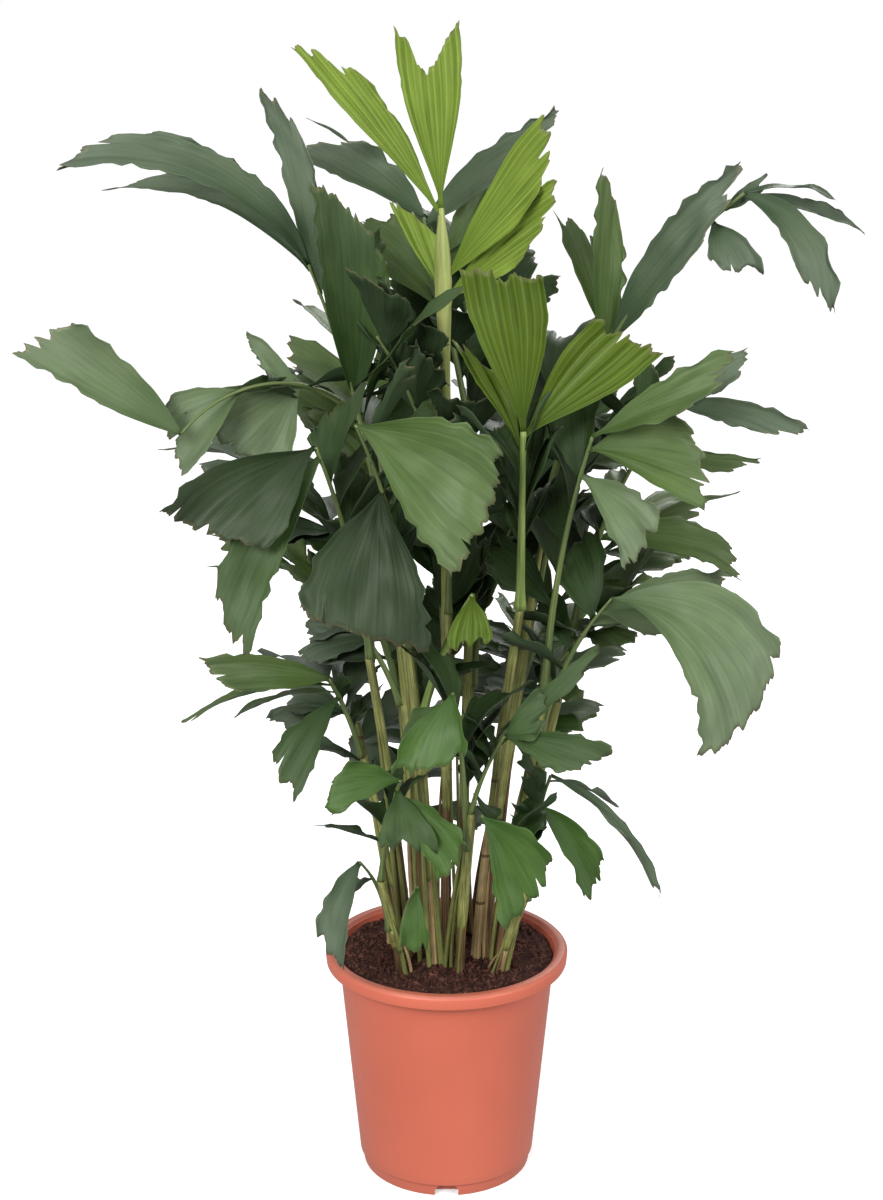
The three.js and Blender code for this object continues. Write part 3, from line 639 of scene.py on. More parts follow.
# A frond's row: its name, its cane, how far up the cane it starts, the stalk's heading, rise, length and
# sag, and its leaflets. A leaflet's row: how far along the stalk it starts, its heading, rise, length,
# width, droop and roll, and its tail, which says to which side its end is drawn out.
FROND_KEYS = ("name", "cane", "at", "turn", "rise", "length", "sag", "leaflets")
FROND_ROWS = [
    ("frond_top", 1, 1, 225, 88, 210, 0, [
        (1, 220, 84, 162, 58, 0, -130, 0), (0.97, 190, 52, 200, 40, 6, -65, 1),
        (0.68, 335, 49, 178, 50, 5, 80, 1), (0.6, 335, 38, 155, 44, 8, 80, 1),
        (0.62, 130, 56, 105, 30, 0, -25, 1),
    ]),
    ("frond_young_front", 2, 1, 270, 78, 172, 0, [
        (1, 185, 81, 158, 68, 4, -92, 0.3), (0.97, 3, 44, 142, 62, 6, 82, -0.5),
        (0.9, 165, 60, 115, 25, 5, -50, 1),
    ]),
    ("frond_upper_left", 3, 0.95, 185, 76, 290, 15, [
        (1, 190, 24, 265, 46, 75, -60, 1), (0.9, 150, 76, 196, 34, 12, -60, 1),
        (0.98, 150, 16, 255, 30, 60, -40, 1), (0.55, 255, 80, 214, 66, 10, -145, 0.8),
        (0.6, 25, 74, 140, 45, 10, 65, 1), (0.52, 310, 38, 205, 24, 30, 35, 1),
    ]),
    ("frond_behind_top", 8, 1, 150, 76, 240, 5, [
        (1, 175, 30, 150, 50, 25, -50, 1), (0.97, 0, 35, 165, 46, 25, 60, 1),
        (0.75, 25, 54, 115, 50, 8, 65, 1), (0.6, 175, 46, 145, 85, 20, -50, 1),
        (0.95, 145, 36, 175, 20, 30, 0, 1),
    ]),
    ("frond_left", 9, 1, 214, 30, 346, 148, [
        (1, 192, 37, 170, 56, 0, -68, 0.6), (0.6, 199, -38, 102, 106, 12, -75, -0.5),
        (0.78, 190, -38, 100, 70, 20, -65, 0.6), (0.62, 157, 32, 70, 24, 20, -49, -1),
    ]),
    ("frond_left_front", 6, 1, 235, 70, 222, 20, [
        (1, 197, -38, 134, 92, 20, -70, -0.7), (0.95, 204, -60, 190, 54, 25, -60, 0.8),
    ]),
    ("frond_centre", 7, 1, 220, 74, 220, 25, [
        (1, 345, -34, 156, 110, 20, 75, -0.8), (0.7, 252, -72, 145, 118, 20, -10, 0.5),
    ]),
    ("frond_upper_right", 4, 1, 345, 61, 380, 45, [
        (0.48, 320, 87, 175, 40, 5, 150, 1), (0.52, 130, 64, 135, 36, 10, -40, 1),
        (0.53, 335, 49, 198, 50, 30, 80, 1), (0.9, 305, -52, 66, 46, 40, 35, 0.7),
        (1, 340, -58, 140, 40, 85, 50, 0.7), (1, 34, -7, 130, 18, 40, 20, 1),
        (0.98, 42, -14, 205, 20, 30, 50, 1), (0.94, 20, 28, 55, 20, 5, 50, 1),
    ]),
    ("frond_right", 12, 1, 305, 62, 325, 35, [
        (1, 355, -17, 122, 32, 30, 55, 1), (0.98, 5, 30, 88, 30, 10, 60, 1),
        (0.8, 300, 82, 95, 34, 5, 150, 1), (0.75, 10, -6, 125, 24, 15, 55, 1),
        (0.45, 355, -10, 150, 48, 40, 50, -0.6),
    ]),
    ("frond_right_inner", 5, 1, 305, 76, 262, 20, [
        (1, 352, 25, 140, 52, 15, 50, 1), (0.95, 350, -9, 118, 74, 25, 60, -1),
        (0.85, 338, -47, 100, 54, 30, 60, -0.7),
    ]),
    ("frond_right_low", 5, 0.85, 335, 65, 160, 30, [
        (1, 335, -44, 205, 105, 100, 45, -1), (0.9, 20, -20, 90, 34, 15, 60, 1),
        (0.8, 35, 0, 180, 48, 30, 45, 1),
    ]),
    ("frond_left_low", 11, 0.86, 235, 62, 105, 20, [
        (1, 185, 2, 122, 42, 20, -60, -0.8), (0.9, 170, -20, 170, 26, 50, 0, -1),
        (0.8, 155, -20, 135, 26, 35, 0, -1), (0.75, 215, -50, 112, 46, 15, -40, 0.8),
    ]),
    ("frond_low_right", 10, 1, 325, 66, 90, 20, [
        (1, 350, -16, 96, 44, 20, 60, 1), (0.9, 20, 36, 130, 22, 15, 50, 1),
        (0.95, 10, 32, 55, 40, 10, 55, 1),
    ]),
    ("frond_low_centre", 10, 0.8, 260, 66, 195, 30, [
        (1, 235, -62, 80, 62, 25, -15, -1), (0.9, 175, -45, 75, 38, 30, -70, 1),
    ]),
    ("frond_low_left", 13, 1, 295, 68, 125, 20, [
        (1, 190, -8, 76, 44, 20, -60, 1), (0.9, 295, -68, 65, 55, 30, 15, 0.5),
        (0.85, 335, -46, 98, 46, 30, 60, -0.5),
    ]),
    ("frond_low_front", 14, 1, 230, 50, 115, 30, [
        (1, 340, -60, 105, 68, 30, 65, -1),
    ]),
    ("frond_low_edge", 14, 0.8, 20, 80, 125, 20, [
        (1, 355, -52, 170, 20, 60, 30, 1), (0.95, 30, -30, 100, 14, 50, 0, 1),
        (0.75, 350, -56, 108, 36, 30, 70, -0.7),
    ]),
    ("frond_foot_left", 13, 0.5, 225, 66, 90, 40, [
        (1, 228, -64, 105, 34, 45, -35, 0.8), (0.7, 190, -30, 30, 18, 20, 0, 1),
    ]),
    ("frond_foot_centre", 13, 0.3, 290, 58, 105, 40, [
        (1, 262, -68, 66, 30, 30, -15, 0.4),
    ]),
    ("frond_small_front", 7, 0.8, 310, 62, 150, 20, [
        (1, 262, -55, 58, 40, 30, -20, -0.5),
    ]),
]
REAR_ROWS = [
    ("frond_rear_01", 8, 0.85, 95, 70, 240, 35),
    ("frond_rear_02", 9, 0.84, 105, 62, 240, 30),
    ("frond_rear_03", 15, 0.95, 75, 66, 225, 40),
    ("frond_rear_04", 9, 0.75, 150, 48, 215, 50),
    ("frond_rear_05", 15, 0.7, 35, 48, 215, 50),
    ("frond_rear_06", 8, 0.7, 85, 44, 235, 50),
    ("frond_rear_07", 9, 0.5, 112, 40, 200, 50),
    ("frond_rear_08", 15, 0.45, 80, 38, 190, 50),
    ("frond_inner_left", 1, 0.85, 205, 70, 190, 30),
    ("frond_inner_right", 4, 0.85, 350, 70, 170, 30),
    ("frond_inner_middle", 8, 0.55, 20, 74, 190, 30),
    ("frond_inner_rear", 9, 0.6, 185, 70, 180, 30),
    ("frond_inner_low", 1, 0.5, 100, 70, 170, 30),
    ("frond_inner_front", 3, 0.45, 40, 72, 160, 30),
    ("frond_inner_top", 1, 0.68, 285, 76, 165, 25),
    ("frond_side_right", 4, 0.55, 5, 50, 165, 40),
    ("frond_side_left", 3, 0.62, 182, 55, 160, 35),
    ("frond_low_rear_right", 12, 0.6, 85, 42, 160, 45),
    ("frond_low_rear_left", 11, 0.6, 115, 42, 160, 45),
    ("frond_foot_rear", 9, 0.22, 95, 35, 150, 40),
]
FRONDS, REAR_FRONDS = [[dict(zip(FROND_KEYS, row), young=row[0] in YOUNG_FRONDS) for row in rows]
                       for rows in (FROND_ROWS, REAR_ROWS)]


def arc_at(start, turn, rise, length, droop, along):
    """The point and the slope of a drooping arc, at a distance along it from its start."""
    first = math.radians(rise + droop / 2)
    bend = math.radians(droop) / length
    slope = first - bend * along
    outward = (math.sin(first) - math.sin(slope)) / bend if droop else along * math.cos(first)
    upward = (math.cos(slope) - math.cos(first)) / bend if droop else along * math.sin(first)
    return start + outward_at(math.radians(turn)) * outward + Vector((0, 0, upward)), slope


def axes_at(turn, slope, roll=0):
    """The three directions of a line that heads by turn and slope: ahead, its left hand and its face."""
    heading = outward_at(math.radians(turn))
    ahead = heading * math.cos(slope) + Vector((0, 0, math.sin(slope)))
    left = Vector((-heading.y, heading.x, 0))
    left.rotate(Quaternion(ahead, math.radians(roll)))
    return ahead, left, ahead.cross(left)


def stalk_radius(frond, share):
    foot = STALK_FOOT + STALK_FOOT_PER_LENGTH * frond["length"]
    return (foot + (STALK_END - foot) * share) * (STALK_YOUNG if frond["young"] else 1)


def stalk_start(frond):
    """A frond's stalk leaves its cane at the side that it heads for."""
    cane = CANES[frond["cane"] - 1]
    at = frond["at"]
    out = cane_radius(cane, at) + stalk_radius(frond, 0) / 2 if at < 1 else 0
    return cane_point(cane, at) + outward_at(math.radians(frond["turn"])) * out


def stalk_at(frond, share):
    return arc_at(stalk_start(frond), frond["turn"], frond["rise"], frond["length"], frond["sag"],
                  share * frond["length"])


def add_stalk(bm, frond):
    """A stalk that is round below, slightly channelled along its leaflets and thicker at each of them."""
    leaflets_from = min(leaflet[0] for leaflet in frond["leaflets"])

    def place(share, angle):
        point, slope = stalk_at(frond, share)
        _, left, face = axes_at(frond["turn"], slope)
        swell = FOOT_SWELL * max(0, 1 - share / FOOT_SHARE) ** 2
        if frond["name"] == "frond_top":
            swell += TOP_SWELL * math.sin(math.pi * share ** TOP_SWELL_RISE) ** TOP_SWELL_TAPER
        joint = sum(JOINT_SWELL * math.exp(-(((share - leaflet[0]) * frond["length"] / JOINT_LENGTH) ** 2))
                    for leaflet in frond["leaflets"])
        radius = stalk_radius(frond, share) * (1 + swell + joint)
        channel = STALK_CHANNEL if share > leaflets_from - CHANNEL_BELOW_LEAFLET else 1
        return point + left * (math.cos(angle) * radius) - face * (math.sin(angle) * radius * channel)

    add_tube(bm, STALK_SIDES, round(frond["length"] / STALK_STEP), place)


def add_sheath(bm, frond, draw):
    """The ridged sheath below a stalk, which wraps the cane and leans out with the stalk at its rim."""
    cane = CANES[frond["cane"] - 1]
    top = cane_height(cane)
    last = frond["at"]
    first = max(SHEATH_LOWEST, last - draw.uniform(*SHEATH_LENGTH) / top)
    lean = outward_at(math.radians(frond["turn"]))

    def place(step_share, angle):
        share = first + (last - first) * step_share
        grown = min(1, step_share * SHEATH_GROWS) * SHEATH_THICK
        ridge = SHEATH_RIDGE * math.sin(SHEATH_RIDGES * angle)
        radius = CANE_SLIMMER * cane_radius(cane, share) + SHEATH_CLEAR + grown + ridge * grown
        return cane_point(cane, share) + outward_at(angle) * radius + lean * (SHEATH_LEAN * step_share ** 2)

    add_tube(bm, CANE_SIDES, max(6, round((last - first) * top / SHEATH_STEP)), place)


def stalk_material(name, stops):
    """Smooth green skin with faint streaks along the stalk."""
    material = make_material(name, stops[1][1], 0.45, 0.45)
    streak = noise_of(material, surface_place(material, 7.0, 1.6), scale=2.0, detail=4.0, rough=0.6)
    join_shader(material, "Base Color", ramp(material, streak, stops))
    fine = noise_of(material, surface_place(material, 22.0, 2.0), scale=3.0, rough=0.5)
    join_shader(material, "Normal", bump(material, fine, 0.25, 0.5))
    return material


# The leaflets of the fronds inside the clump and behind it follow one rule, in pairs up the stalk, with one
# more at its end. Smaller leaflets grow between them, and on the inner side of the fronds in front.
REAR_SHORT = 180
REAR_VARY = 12
REAR_FIRST = 0.5
REAR_LAST = 0.92
REAR_SPREAD = 50
REAR_BELOW = 36
REAR_DROOP = 40
REAR_ROLL = 20
REAR_LENGTH = 0.7
REAR_SHORTER = 0.24
REAR_LENGTH_VARY = 0.12
REAR_WIDTH = 86
REAR_NARROWER = 24
REAR_END = {"below": 15, "length": 0.55, "width": 84, "droop": 45}
SCATTER = 12.9
BETWEEN_SHARES = (0.34, 0.46, 0.58, 0.70, 0.82)
BETWEEN_LENGTH = (0.36, 0.58)
BETWEEN_WIDTH = (0.45, 0.65)
BETWEEN_BELOW = (10, 60)
BETWEEN_DROOP = (20, 55)
REAR_BETWEEN = {"nearest": 35, "furthest": 95, "longest": 150}
INWARD = {"nearest": 110, "furthest": 200, "longest": 95}
STANDS_CLEAR = "frond_upper_right"
FOOT_FRONDS_FROM = 17


def rear_leaflets(frond, order):
    count = 4 if frond["length"] > REAR_SHORT else 3
    leaflets = []
    for i in range(count):
        share = REAR_FIRST + (REAR_LAST - REAR_FIRST) * i / (count - 1)
        side = 1 if (i + order) % 2 else -1
        vary = math.sin(SCATTER * (order * 5 + i + 1))
        turn = frond["turn"] + side * (REAR_SPREAD + REAR_VARY * vary)
        rise = frond["rise"] - REAR_BELOW + REAR_VARY * vary
        length = frond["length"] * ((REAR_LENGTH - REAR_SHORTER * share) * (1 + REAR_LENGTH_VARY * vary))
        width = REAR_WIDTH - REAR_NARROWER * share
        leaflets.append((share, turn, rise, length, width, REAR_DROOP, -REAR_ROLL * side, -side))
    end_rise = frond["rise"] - frond["sag"] / 2 - REAR_END["below"]
    leaflets.append((1, frond["turn"], end_rise, frond["length"] * REAR_END["length"], REAR_END["width"],
                     REAR_END["droop"], 0, 0))
    return leaflets


def leaflets_between(frond, draw, nearest, furthest, longest):
    """Smaller leaflets that fill a frond out, turned from its heading by nearest to furthest degrees."""
    leaflets = []
    for share in BETWEEN_SHARES:
        side = draw.choice((-1, 1))
        turn = frond["turn"] + side * draw.uniform(nearest, furthest)
        length = min(longest, frond["length"] * draw.uniform(*BETWEEN_LENGTH))
        rise = frond["rise"] - draw.uniform(*BETWEEN_BELOW)
        width = length * draw.uniform(*BETWEEN_WIDTH)
        droop = draw.uniform(*BETWEEN_DROOP)
        leaflets.append((share, turn, rise, length, width, droop, -REAR_ROLL * side, -side))
    return leaflets


between_draw = random.Random(23)
for order, frond in enumerate(REAR_FRONDS):
    frond["leaflets"] = rear_leaflets(frond, order)
    frond["between"] = leaflets_between(frond, between_draw, **REAR_BETWEEN)
for frond in FRONDS[1:FOOT_FRONDS_FROM]:
    inward = leaflets_between(frond, between_draw, **INWARD)
    if frond["name"] != STANDS_CLEAR:
        frond["between"] = inward

STALK_GREEN = [(0.30, (0.055, 0.085, 0.028)), (0.52, (0.12, 0.17, 0.050)), (0.75, (0.26, 0.30, 0.10))]
STALK_YOUNG_GREEN = [(0.30, (0.085, 0.140, 0.030)), (0.52, (0.18, 0.26, 0.060)), (0.75, (0.36, 0.44, 0.14))]
STALK_PALE = [(0.30, (0.20, 0.255, 0.061)), (0.52, (0.327, 0.369, 0.112)), (0.75, (0.45, 0.44, 0.173))]
SHEATH_OLIVE = [(0.30, (0.080, 0.082, 0.022)), (0.48, (0.25, 0.27, 0.072)), (0.66, (0.52, 0.53, 0.20))]
all_fronds = FRONDS + REAR_FRONDS
STALK_PIECES = {
    "stalks": ("mature_leaf", STALK_GREEN, [frond for frond in all_fronds if not frond["young"]]),
    "young_stalks": ("young_leaf", STALK_YOUNG_GREEN, [frond for frond in FRONDS[1:] if frond["young"]]),
    "top_stalk": ("young_leaf", STALK_PALE, [FRONDS[0]]),
}
for name, (slot, stops, fronds) in STALK_PIECES.items():
    bm = new_shape()
    for frond in fronds:
        add_stalk(bm, frond)
    make_piece(name, bm, [stalk_material(name + "_skin", stops)], slot)
bm = new_shape()
sheath_draw = random.Random(31)
for frond in all_fronds:
    if frond["at"] > SHEATH_LOWEST + SHEATH_SHORTEST:
        add_sheath(bm, frond, sheath_draw)
make_piece("sheaths", bm, [bark_material("sheath_skin", SHEATH_OLIVE, 0.5)], "mature_leaf")

# The leaflets. Each is a wedge of thin, stiff blade with ribs that fan out from its foot to a slanting end,
# torn into lobes and teeth. Grown blades are grey-green to deep green, ruffled and dry at some rims. Young
# ones are yellow-green and still pleated.
BLADE_LEAST = 1.4
BLADE_PER_LENGTH = 1 / 90
ROOT_HALF_WIDTH = 2.2
FAN_MATURE = 0.9
FAN_YOUNG = 1.05
WIDEST_AT = 0.85
CUP = 0.3
TOOTH = 0.06
SHORT_REACH = 0.6
END_CURVE = 0.85
FORK_REACH = 0.78
FORK_CURVE = 1.5
NARROW = 75
BROAD = 100
SWINGS = [
    (0, 0), (8, 0), (-8, 0), (0, 8), (0, -8), (16, 0), (-16, 0), (0, 16), (0, -16),
    (12, 12), (-12, 12), (12, -12), (-12, -12), (26, 0), (-26, 0), (0, 26), (0, -26),
]
SEEN_WITHIN = 0.2
COLUMN_WIDTH = 1.5
COLUMNS = (20, 70)
ROW_LENGTH = 6.5
ROWS = (8, 30)
COARSER_INSIDE = 1.4
BLADE_THICKNESS = 0.5
SHORT_VARY = 0.06
CURVE_VARY = 0.15
SCENE_FORK = 0.77
FORK_BLUNT = 1.12
STRAIGHT_SIDES = 1.3
STRAP_RATIO = 2.7
STRAP_SIDES = 0.8
MOST_SLANT = 1.6
TOOTH_WIDTH = 4.6
TOOTH_WIDTH_VARY = (0.6, 1.5)
TOOTH_DEPTH = 3.2
TOOTH_DEPTH_SHARE = (0.25, 1)
TOOTH_SHALLOWER = 1.4
LOBE_WIDTH = 17
LOBE_DEPTH = 9
LOBE_ROUNDNESS = 1.5
DEEPEST_TEAR = 0.2
TORN_TOWARDS_END = 3
SPLIT_EVERY = 44
SPLITS_VARY = (0.2, 1.2)
SPLIT_PLACE = (0.05, 0.9)
SPLIT_WIDTH = (1.6, 3.6)
SPLIT_DEPTH = (6, 20)
SIDE_TOOTH = 1.8
SIDE_TOOTH_WIDER = 1.3
SIDE_LOBE_WIDTH = 24
SIDE_LOBE_DEPTH = 7
SIDE_LOBE_SHARE = 0.17
SIDE_TORN_FROM = 0.3
SIDE_TORN_RISE = 3
SIDE_TORN_RIM = 5
TIP_KEPT = 0.55
TIP_SHARPNESS = 16
FORK_TIP_SHARPNESS = 12
RUFFLE = 5.5
RUFFLE_FULL_WIDTH = 70
RUFFLE_RISE = 2.2
RUFFLE_MIDDLE = 0.4
YOUNG_RUFFLE = 0.35
SLOW_WAVE = (1.5, 3.0)
QUICK_WAVE = (3.5, 6.5)
WAVE_START = (0, 6.3)
EDGE_WAVE = 2.8
EDGE_WAVES = 11
UNDULATION = 4.2
UNDULATION_SIZE = 22
UNDULATION_RISE = 0.7
UNDULATION_STRETCH = 0.6
YOUNG_FLATTER = 0.4
TWIST = math.radians(16)
MATURE_RIB_WIDTH = 7
MATURE_PLEAT = 0.14
YOUNG_RIB_WIDTH = 12
YOUNG_PLEAT = 2.0
PLEAT_RISE = 1.5
PLEAT_VARY = 0.5
PLEAT_VARY_RATE = 2.5


def reach_at(across, tail, short=SHORT_REACH, curve=END_CURVE, fork=FORK_REACH, fork_curve=FORK_CURVE,
             blunt=1):
    """How far along its length a blade reaches at a place across it: a leaflet's end is rounded up to its
    tail, and a forked one is cut back in its middle."""
    if tail == 0:
        return fork + (1 - fork) * min(1, blunt * abs(across)) ** fork_curve
    to_tail = (across * tail + 1) / 2
    return short + (1 - short) * math.sin(math.pi / 2 * to_tail) ** curve


def blade_point(frond, leaflet, swing, across, outward, reach, lift, widen=0.0, fan=None):
    """A point of a leaflet's blade, which bends down along an arc and is cupped across it."""
    share, turn, rise, length, width, droop, roll, tail = leaflet
    foot, _ = stalk_at(frond, share)
    middle, slope = arc_at(foot, turn + swing[0], rise + swing[1], length, droop, length * reach * outward)
    _, left, face = axes_at(turn + swing[0], slope, roll)
    fan = fan or (FAN_YOUNG if frond["young"] else FAN_MATURE)
    spread_share = math.sin(math.pi / 2 * min(1, outward / WIDEST_AT)) ** fan
    half = max(ROOT_HALF_WIDTH, width / 2 * spread_share) + widen
    return middle + left * (across * half) + face * (CUP * half * across * across + lift)


def swing_of(frond, leaflet, skin):
    """The turn that the frond's solid gives a leaflet, found by where its end corners lie on that solid."""
    length, width, tail = leaflet[3], leaflet[4], leaflet[7]
    cells = 2 + (width >= NARROW) + (width >= BROAD)
    half = max(BLADE_LEAST, length * BLADE_PER_LENGTH) / 2
    for swing in SWINGS:
        met = 0
        for across, notch in ((1, 0), (-1, TOOTH if cells % 2 else 0)):
            for lift in (-half, half):
                corner = blade_point(frond, leaflet, swing, across, 1, reach_at(across, tail) - notch, lift)
                _, _, _, gap = skin.find_nearest(corner * MM)
                met += gap < SEEN_WITHIN * MM
        if met > 2:
            return swing
    return None


def torn_edge(draw, span, step, depth):
    """Teeth or lobes along an edge from 0 to its span: a list of (start, end, depth)."""
    teeth = []
    start = -draw.uniform(0, step)
    while start < span:
        end = start + step * draw.uniform(*TOOTH_WIDTH_VARY)
        teeth.append((start, end, depth * draw.uniform(*TOOTH_DEPTH_SHARE) ** TOOTH_SHALLOWER))
        start = end
    return teeth


def bite(teeth, place):
    """How deep a saw-toothed edge is cut at a place along it."""
    return next((depth * (place - start) / (end - start) for start, end, depth in teeth
                 if start <= place < end), 0)


def hollow(lobes, place):
    """How deep an edge is hollowed between its rounded lobes at a place along it."""
    return next((depth * math.sin(math.pi * (place - start) / (end - start)) ** LOBE_ROUNDNESS
                 for start, end, depth in lobes if start <= place < end), 0)


def blade_splits(draw, span):
    """Narrow splits that run in from the end between two ribs: (place, half width, depth)."""
    count = round(span / SPLIT_EVERY * draw.uniform(*SPLITS_VARY))
    return [(draw.uniform(*SPLIT_PLACE) * span, draw.uniform(*SPLIT_WIDTH) / 2, draw.uniform(*SPLIT_DEPTH))
            for _ in range(count)]


def split_at(splits, place):
    return max((depth * max(0, 1 - abs(place - middle) / half) for middle, half, depth in splits), default=0)


def add_back(bm, grid, top, colour):
    """Gives a blade its thickness, and its two faces their greens."""
    for vert in grid["verts"]:
        vert.normal_update()
    back = bmesh.ops.extrude_face_region(bm, geom=top, use_keep_orig=True)["geom"]
    for item in back:
        if isinstance(item, bmesh.types.BMVert):
            item.co -= item.normal * BLADE_THICKNESS
    under = list(dict.fromkeys(face for item in back if isinstance(item, bmesh.types.BMFace)
                               for edge in item.edges for face in edge.link_faces))
    bmesh.ops.recalc_face_normals(bm, faces=under + top)
    for faces, index in ((top, colour), (under, colour + 1)):
        for face in faces:
            face.material_index = index


def add_leaflet(bm, frond, leaflet, swing, draw, colour, coarser=1.0):
    """Lays a grid along a leaflet's blade, tears its rims and ruffles its face."""
    length, width, tail = leaflet[3], leaflet[4], leaflet[7]
    young = frond["young"]
    flatter = YOUNG_FLATTER if young else 1
    columns = sorted((*COLUMNS, round(width / COLUMN_WIDTH / coarser)))[1]
    rows = sorted((*ROWS, round(length / ROW_LENGTH / coarser)))[1]
    short = SHORT_REACH + draw.uniform(-SHORT_VARY, SHORT_VARY)
    curve = END_CURVE + draw.uniform(-CURVE_VARY, CURVE_VARY)
    slant = min(MOST_SLANT, math.hypot(1, length * (1 - short) / width))
    teeth = torn_edge(draw, width, TOOTH_WIDTH / slant ** 0.5, TOOTH_DEPTH * slant)
    lobes = torn_edge(draw, width, LOBE_WIDTH / slant ** 0.5, LOBE_DEPTH * slant ** 0.7)
    splits = blade_splits(draw, width)
    side_teeth = torn_edge(draw, length, TOOTH_WIDTH * SIDE_TOOTH_WIDER, SIDE_TOOTH)
    side_depth = 0 if young else min(SIDE_LOBE_DEPTH, SIDE_LOBE_SHARE * width)
    side_lobes = [torn_edge(draw, length, SIDE_LOBE_WIDTH, side_depth) for _ in range(2)]
    sides = STRAP_SIDES if length > STRAP_RATIO * width and not young else STRAIGHT_SIDES
    ribs = width / (YOUNG_RIB_WIDTH if young else MATURE_RIB_WIDTH)
    pleat = YOUNG_PLEAT if young else MATURE_PLEAT
    ruffle = (YOUNG_RUFFLE if young else 1) * RUFFLE * min(1, width / RUFFLE_FULL_WIDTH)
    rates = draw.uniform(*SLOW_WAVE), draw.uniform(*QUICK_WAVE)
    phases = draw.uniform(*WAVE_START), draw.uniform(*WAVE_START)
    twist = math.tan(draw.uniform(-TWIST, TWIST)) * width / 2 * flatter
    edge_phase = draw.uniform(0, 2 * math.pi)
    layer = draw.uniform(0, 99)
    tail_side = -1 if tail < 0 else 1

    def reach_of(across, outward, to_tail):
        """How far the blade reaches there once its end is torn. The tip itself stays whole."""
        whole_tip = TIP_KEPT * to_tail ** TIP_SHARPNESS if tail else abs(across) ** FORK_TIP_SHARPNESS
        place = (1 - to_tail) * width
        torn = (bite(teeth, place) + hollow(lobes, place)) * (1 - whole_tip) + split_at(splits, place)
        whole = reach_at(across, tail, short, curve, SCENE_FORK, 1, FORK_BLUNT)
        return whole - min(torn / length, DEEPEST_TEAR * whole) * outward ** TORN_TOWARDS_END

    def lift_of(across, outward):
        """How far the ruffles, the pleats and the twist lift the blade off its cupped face."""
        wave = sum(math.sin(across * rate * math.pi / 2 + phase + outward)
                   for rate, phase in zip(rates, phases)) / 2
        rib_place = across * ribs / 2
        rib_place += PLEAT_VARY * noise.noise(Vector((across * PLEAT_VARY_RATE, layer, 0)))
        fold = abs(rib_place % 1 * 2 - 1) * 2 - 1
        towards_rim = RUFFLE_MIDDLE + (1 - RUFFLE_MIDDLE) * abs(across)
        lift = ruffle * wave * outward ** RUFFLE_RISE * towards_rim
        lift += EDGE_WAVE * across ** 2 * math.sin(outward * EDGE_WAVES + edge_phase + across) * outward
        along = outward * length * UNDULATION_STRETCH
        spot = Vector((across * width / 2, along, layer * UNDULATION_SIZE)) / UNDULATION_SIZE
        lift += UNDULATION * noise.noise(spot) * outward ** UNDULATION_RISE * flatter
        return lift + pleat * fold * min(1, outward * PLEAT_RISE) + twist * across * outward ** 2

    grid = bmesh.ops.create_grid(bm, x_segments=columns, y_segments=rows, size=0.5, calc_uvs=True)
    top = faces_of(grid)
    for vert in grid["verts"]:
        across, outward = -2 * vert.co.x, vert.co.y + 0.5
        reach = reach_of(across, outward, (across * tail_side + 1) / 2)
        along = outward * length
        side_bite = bite(side_teeth, along) + hollow(side_lobes[across > 0], along * reach)
        grown = min(1, max(0, (outward - SIDE_TORN_FROM) * SIDE_TORN_RISE))
        widen = -side_bite * abs(across) ** SIDE_TORN_RIM * grown
        lift = lift_of(across, outward)
        vert.co = blade_point(frond, leaflet, swing, across, outward, reach, lift, widen, sides)
    add_back(bm, grid, top, colour)


TOP_ROUGHNESS = 0.43
UNDER_ROUGHNESS = 0.55
SHINY = ("grey", "pale", "mid", "fresh")
SHEEN = 0.4
DULL_SHEEN = 0.25
SHEEN_TINT = (0.72, 0.80, 0.68)
RIB_SHOWS = 0.14
YOUNG_RIB_SHOWS = 0.45
# Painted shade darkens a blade towards its foot; towards its end a pale waxy bloom is partly painted sheen.
FOOT_SHADE = 0.65
FOOT_SHADE_END = 0.55
BLOOM_AND_SHEEN_COLOUR = (0.175, 0.205, 0.165)
BLOOM_AND_SHEEN_FROM = 0.3
BLOOM_AND_SHEEN_SHARES = {"grey": 0.30, "pale": 0.26, "mid": 0.14, "dark": 0.10, "deep": 0.14, "fresh": 0.06}
DRY = 0.75
DRY_FROM = 0.965
DRY_COLOUR = (0.17, 0.13, 0.075)


def bands_across(material, place, scale, distortion, detail, detail_scale=1.0):
    settings = {"Vector": place, "Scale": scale, "Distortion": distortion, "Detail": detail,
                "Detail Scale": detail_scale}
    bands = {"wave_type": "BANDS", "bands_direction": "X"}
    return add_node(material, "ShaderNodeTexWave", settings, **bands).outputs["Fac"]


